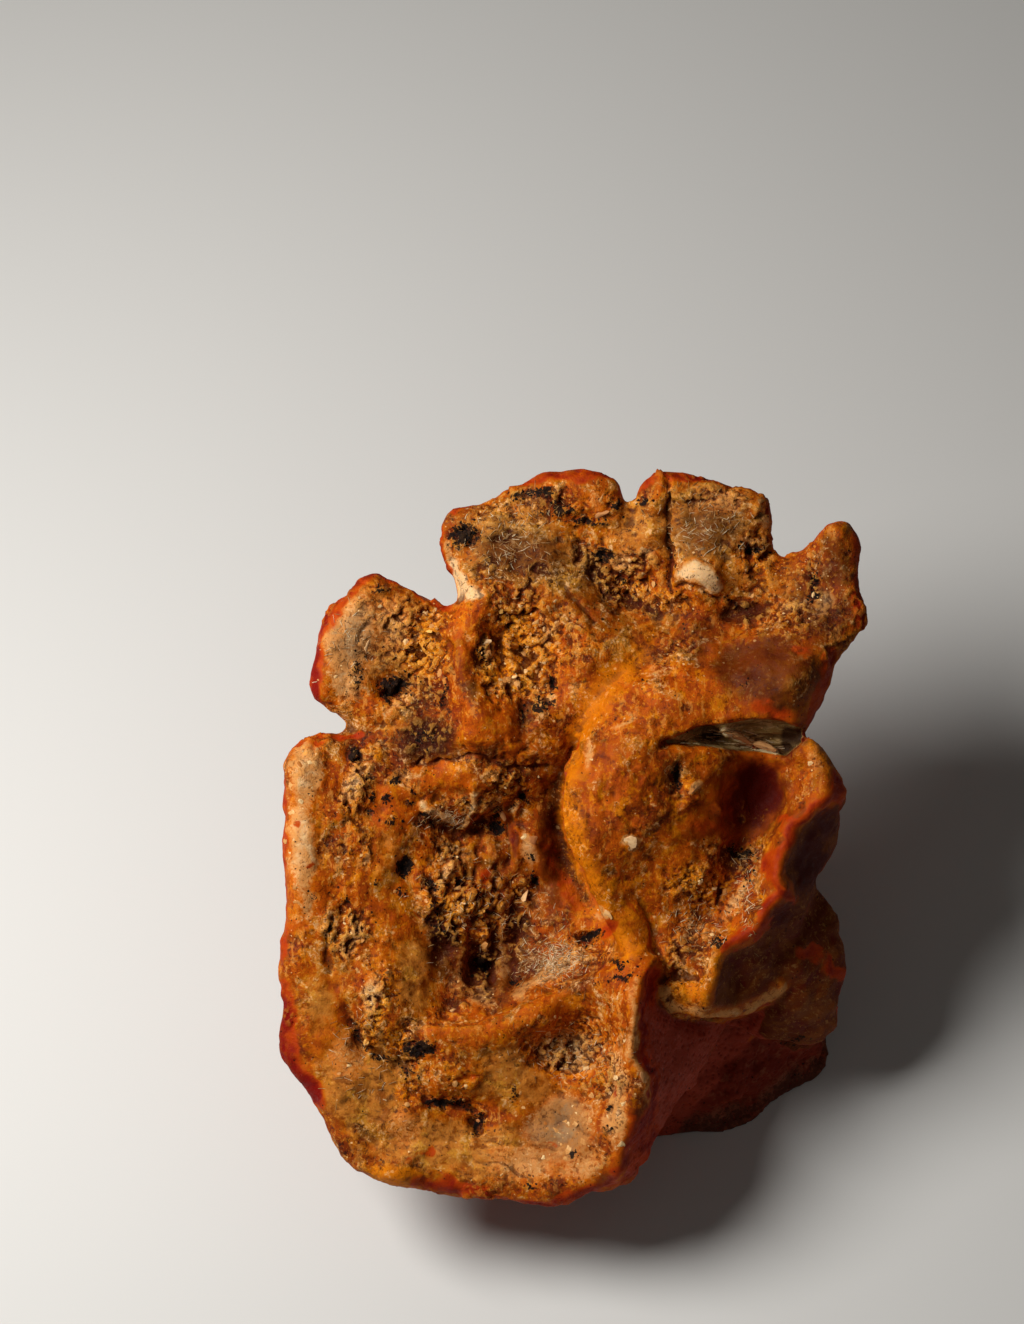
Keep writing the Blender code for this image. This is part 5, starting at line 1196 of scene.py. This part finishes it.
def patchSites(names, values, rng):
    # places spread through the patches of a finish, thicker towards the middle
    sites = []
    for name in names:
        for u, v, halfU, halfV, turn, strength in patches[name]:
            angle = math.radians(turn)
            for _ in range(int(values["perMm2"] * halfU * halfV * math.pi * strength ** 2 + 0.5)):
                a, b = rng.normal(0.0, laying["gather"], 2) * (halfU, halfV)
                sites.append(bitSite(u + a * math.cos(angle) - b * math.sin(angle),
                                     v + a * math.sin(angle) + b * math.cos(angle), values, rng))
    return sites


def strandSites(values, rng):
    # short fibres in the fuzzy places, and longer ones along the tear and its shelf
    sites = []
    for u, v, halfU, halfV, part in fuzzPlaces:
        for _ in range(int(values["count"] * part)):
            a, b = rng.normal(0.0, 0.6, 2) * (halfU, halfV)
            length = rng.uniform(*values["sizes"])
            thick = rng.uniform(0.07, 0.13)
            sites.append((u + a, v + b, length, thick, 2.0 * thick, rng.normal(10.0, 55.0)))
    for _ in range(laying["tearStrands"]):
        part = rng.random()
        u = 22.0 + 19.0 * part
        v = 17.6 + 3.6 * rng.random() * math.sin(math.pi * part) - 1.2 * part
        sites.append((u, v, rng.uniform(2.0, 6.5), 0.22, 0.4, rng.normal(-3.0, 9.0)))
    return sites


def layBits(name, shapes, sites, tree, sink, rng):
    # lays a bit on the skin at every site, following its slope, and joins them all; the chosen
    # ones also stick out level from the steep tear
    points, faces, tints = [], [], []
    total = 0
    up = Vector((0.0, 0.0, 1.0))
    for u, v, length, width, tall, turn in sites:
        shape, corners = shapes[int(rng.random() * len(shapes))]
        tint = rng.random()
        place, normal = castDown(tree, u, v)
        steep = place is not None and normal.z < laying["steepest"]
        if steep and name == "chosenBits":
            place, normal, steep = place + laying["standOut"] * up, up, False
        if place is None or steep:
            continue
        angle = math.radians(turn)
        flat = shape * (length, width, tall)
        right = flat[:, 0] * math.cos(angle) - flat[:, 1] * math.sin(angle)
        back = flat[:, 0] * math.sin(angle) + flat[:, 1] * math.cos(angle)
        slope = -(normal.x * right + normal.y * back) / normal.z
        points.append(np.column_stack([
            u + right, v + back, place.z + slope + flat[:, 2] - sink * length]))
        faces.append(corners + total)
        tints.append(np.full(len(shape), tint))
        total += len(shape)
    mesh = bpy.data.meshes.new(name)
    mesh.from_pydata(toStanding(np.vstack(points)), [], np.vstack(faces).tolist())
    layer = mesh.attributes.new("tint", "FLOAT", "POINT")
    layer.data.foreach_set("value", np.concatenate(tints).astype(np.float32))
    piece = bpy.data.objects.new(name, mesh)
    bpy.context.scene.collection.objects.link(piece)
    print(name, len(points), "bits", len(mesh.polygons), "triangles")
    return piece


def crumbMaterial(name, dark, middle, pale, roughness):
    # Dry crumbs of broken crust or of forest soil: matt and uneven, each of its own shade.
    material = bpy.data.materials.new(name)
    material.use_nodes = True
    tree = material.node_tree
    shader = tree.nodes["Principled BSDF"]
    place = addNode(tree, "TexCoord").outputs["Object"]
    tint = addNode(tree, "Attribute", attribute_name="tint").outputs["Fac"]
    fine = addNode(tree, "TexNoise", {"Vector": place, "Scale": perMm(0.7), "Detail": 3.0})
    colour = linear(dark)
    for value, low, high, top, paint in (
        (tint, 0.0, 0.55, 1.0, middle), (tint, 0.6, 1.0, 1.0, pale),
        (fine.outputs["Fac"], 0.45, 0.65, 0.5, dark),
    ):
        mask = addNode(tree, "MapRange", {"Value": value, "From Min": low, "From Max": high,
                                          "To Max": top}).outputs[0]
        colour = addNode(tree, "Mix", {0: mask, 6: colour, 7: linear(paint)},
                         data_type="RGBA").outputs[2]
    tree.links.new(colour, shader.inputs["Base Color"])
    shader.inputs["Roughness"].default_value = roughness
    shader.inputs["Specular IOR Level"].default_value = 0.15
    return material


def makeBits(tree):
    looks = {name: crumbMaterial(name, *values) for name, values in bitLooks.items()}
    crumbs = crumbShapes(6, 1, 0.14, 20)
    lumps = crumbShapes(5, 3, 0.07, 60)
    strands = strandShapes(5, 40)
    rngs = {name: np.random.default_rng(values["seed"]) for name, values in bits.items()}
    sites = {"chosenBits": chosenBits}
    for name, kinds in (("goldCrumbs", ("gold",)), ("soilCrumbs", ("soil",)),
                        ("paleFlakes", ("gold", "cream"))):
        sites[name] = patchSites(kinds, bits[name], rngs[name])
    rng = rngs["soilSpecks"]
    sites["soilSpecks"] = [bitSite(rng.uniform(-50.0, 54.0), rng.uniform(-64.0, 66.0),
                                   bits["soilSpecks"], rng)
                           for _ in range(bits["soilSpecks"]["count"])]
    sites["fuzz"] = strandSites(bits["fuzz"], rngs["fuzz"])
    for name, shapes, look in (
        ("goldCrumbs", crumbs, "brokenGoldenCrust"), ("soilCrumbs", crumbs, "dryBlackSoil"),
        ("soilSpecks", crumbs, "dryBlackSoil"), ("paleFlakes", crumbs, "driedPaleFlesh"),
        ("fuzz", strands, "fuzzyThreads"), ("chosenBits", lumps, "brightPaleFlesh"),
    ):
        piece = layBits(name, shapes, sites[name], tree, bits[name]["sink"], rngs[name])
        piece.data.materials.append(looks[look])
        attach(piece, "root")


studio = {
    "floorSize": 6.0,
    "floorColour": "d8d5cf",
    "keyPlace": (-350.0, 210.0, 260.0),   # drawn millimetres: from the upper left
    "keySize": 0.2,
    "keyPower": 2.1,
    "fillPlace": (500.0, -250.0, 500.0),
    "fillSize": 1.0,
    "fillPower": 0.16,
    "worldColour": "f2f0ec",
    "worldStrength": 0.04,
    "aimHeight": 0.05,          # m, where both lamps point
}


def addStudio():
    bpy.ops.object.select_all(action="DESELECT")
    bpy.ops.mesh.primitive_plane_add(size=studio["floorSize"])
    floor = bpy.context.object
    floor.name = "studioFloor"
    material = bpy.data.materials.new("matPaperFloor")
    material.use_nodes = True
    shader = material.node_tree.nodes["Principled BSDF"]
    shader.inputs["Base Color"].default_value = linear(studio["floorColour"])
    shader.inputs["Roughness"].default_value = 0.9
    floor.data.materials.append(material)
    target = Vector((0.0, 0.0, studio["aimHeight"]))
    for name in ("key", "fill"):
        place = Vector(toStanding(np.array([studio[name + "Place"]]))[0])
        bpy.ops.object.light_add(type="AREA", location=place)
        light = bpy.context.object
        light.name = name + "Light"
        light.data.shape = "DISK"
        light.data.size = studio[name + "Size"]
        light.data.energy = studio[name + "Power"]
        light.rotation_euler = (target - place).to_track_quat("-Z", "Y").to_euler()
    world = bpy.data.worlds.new("softStudio")
    world.use_nodes = True
    background = world.node_tree.nodes["Background"]
    background.inputs["Color"].default_value = linear(studio["worldColour"])
    background.inputs["Strength"].default_value = studio["worldStrength"]
    bpy.context.scene.world = world
    bpy.context.scene.view_settings.view_transform = "Standard"


def makeSkin():
    skin = startSkin()
    print("skin started")
    seen = sculptSkin(skin)
    print("skin sculpted")
    thinSkin(skin, seen)
    markNames = markSkin(skin)
    print("skin marked")
    makeBits(skinTree(skin.data))
    points, _ = meshArrays(skin.data)
    setPoints(skin.data, toStanding(points))
    skin.data.shade_smooth()
    skin.data.materials.append(mushroomCrust(markNames))
    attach(skin, "root")
    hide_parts("mushroom")


addCamera()
addStudio()
makeSkin()
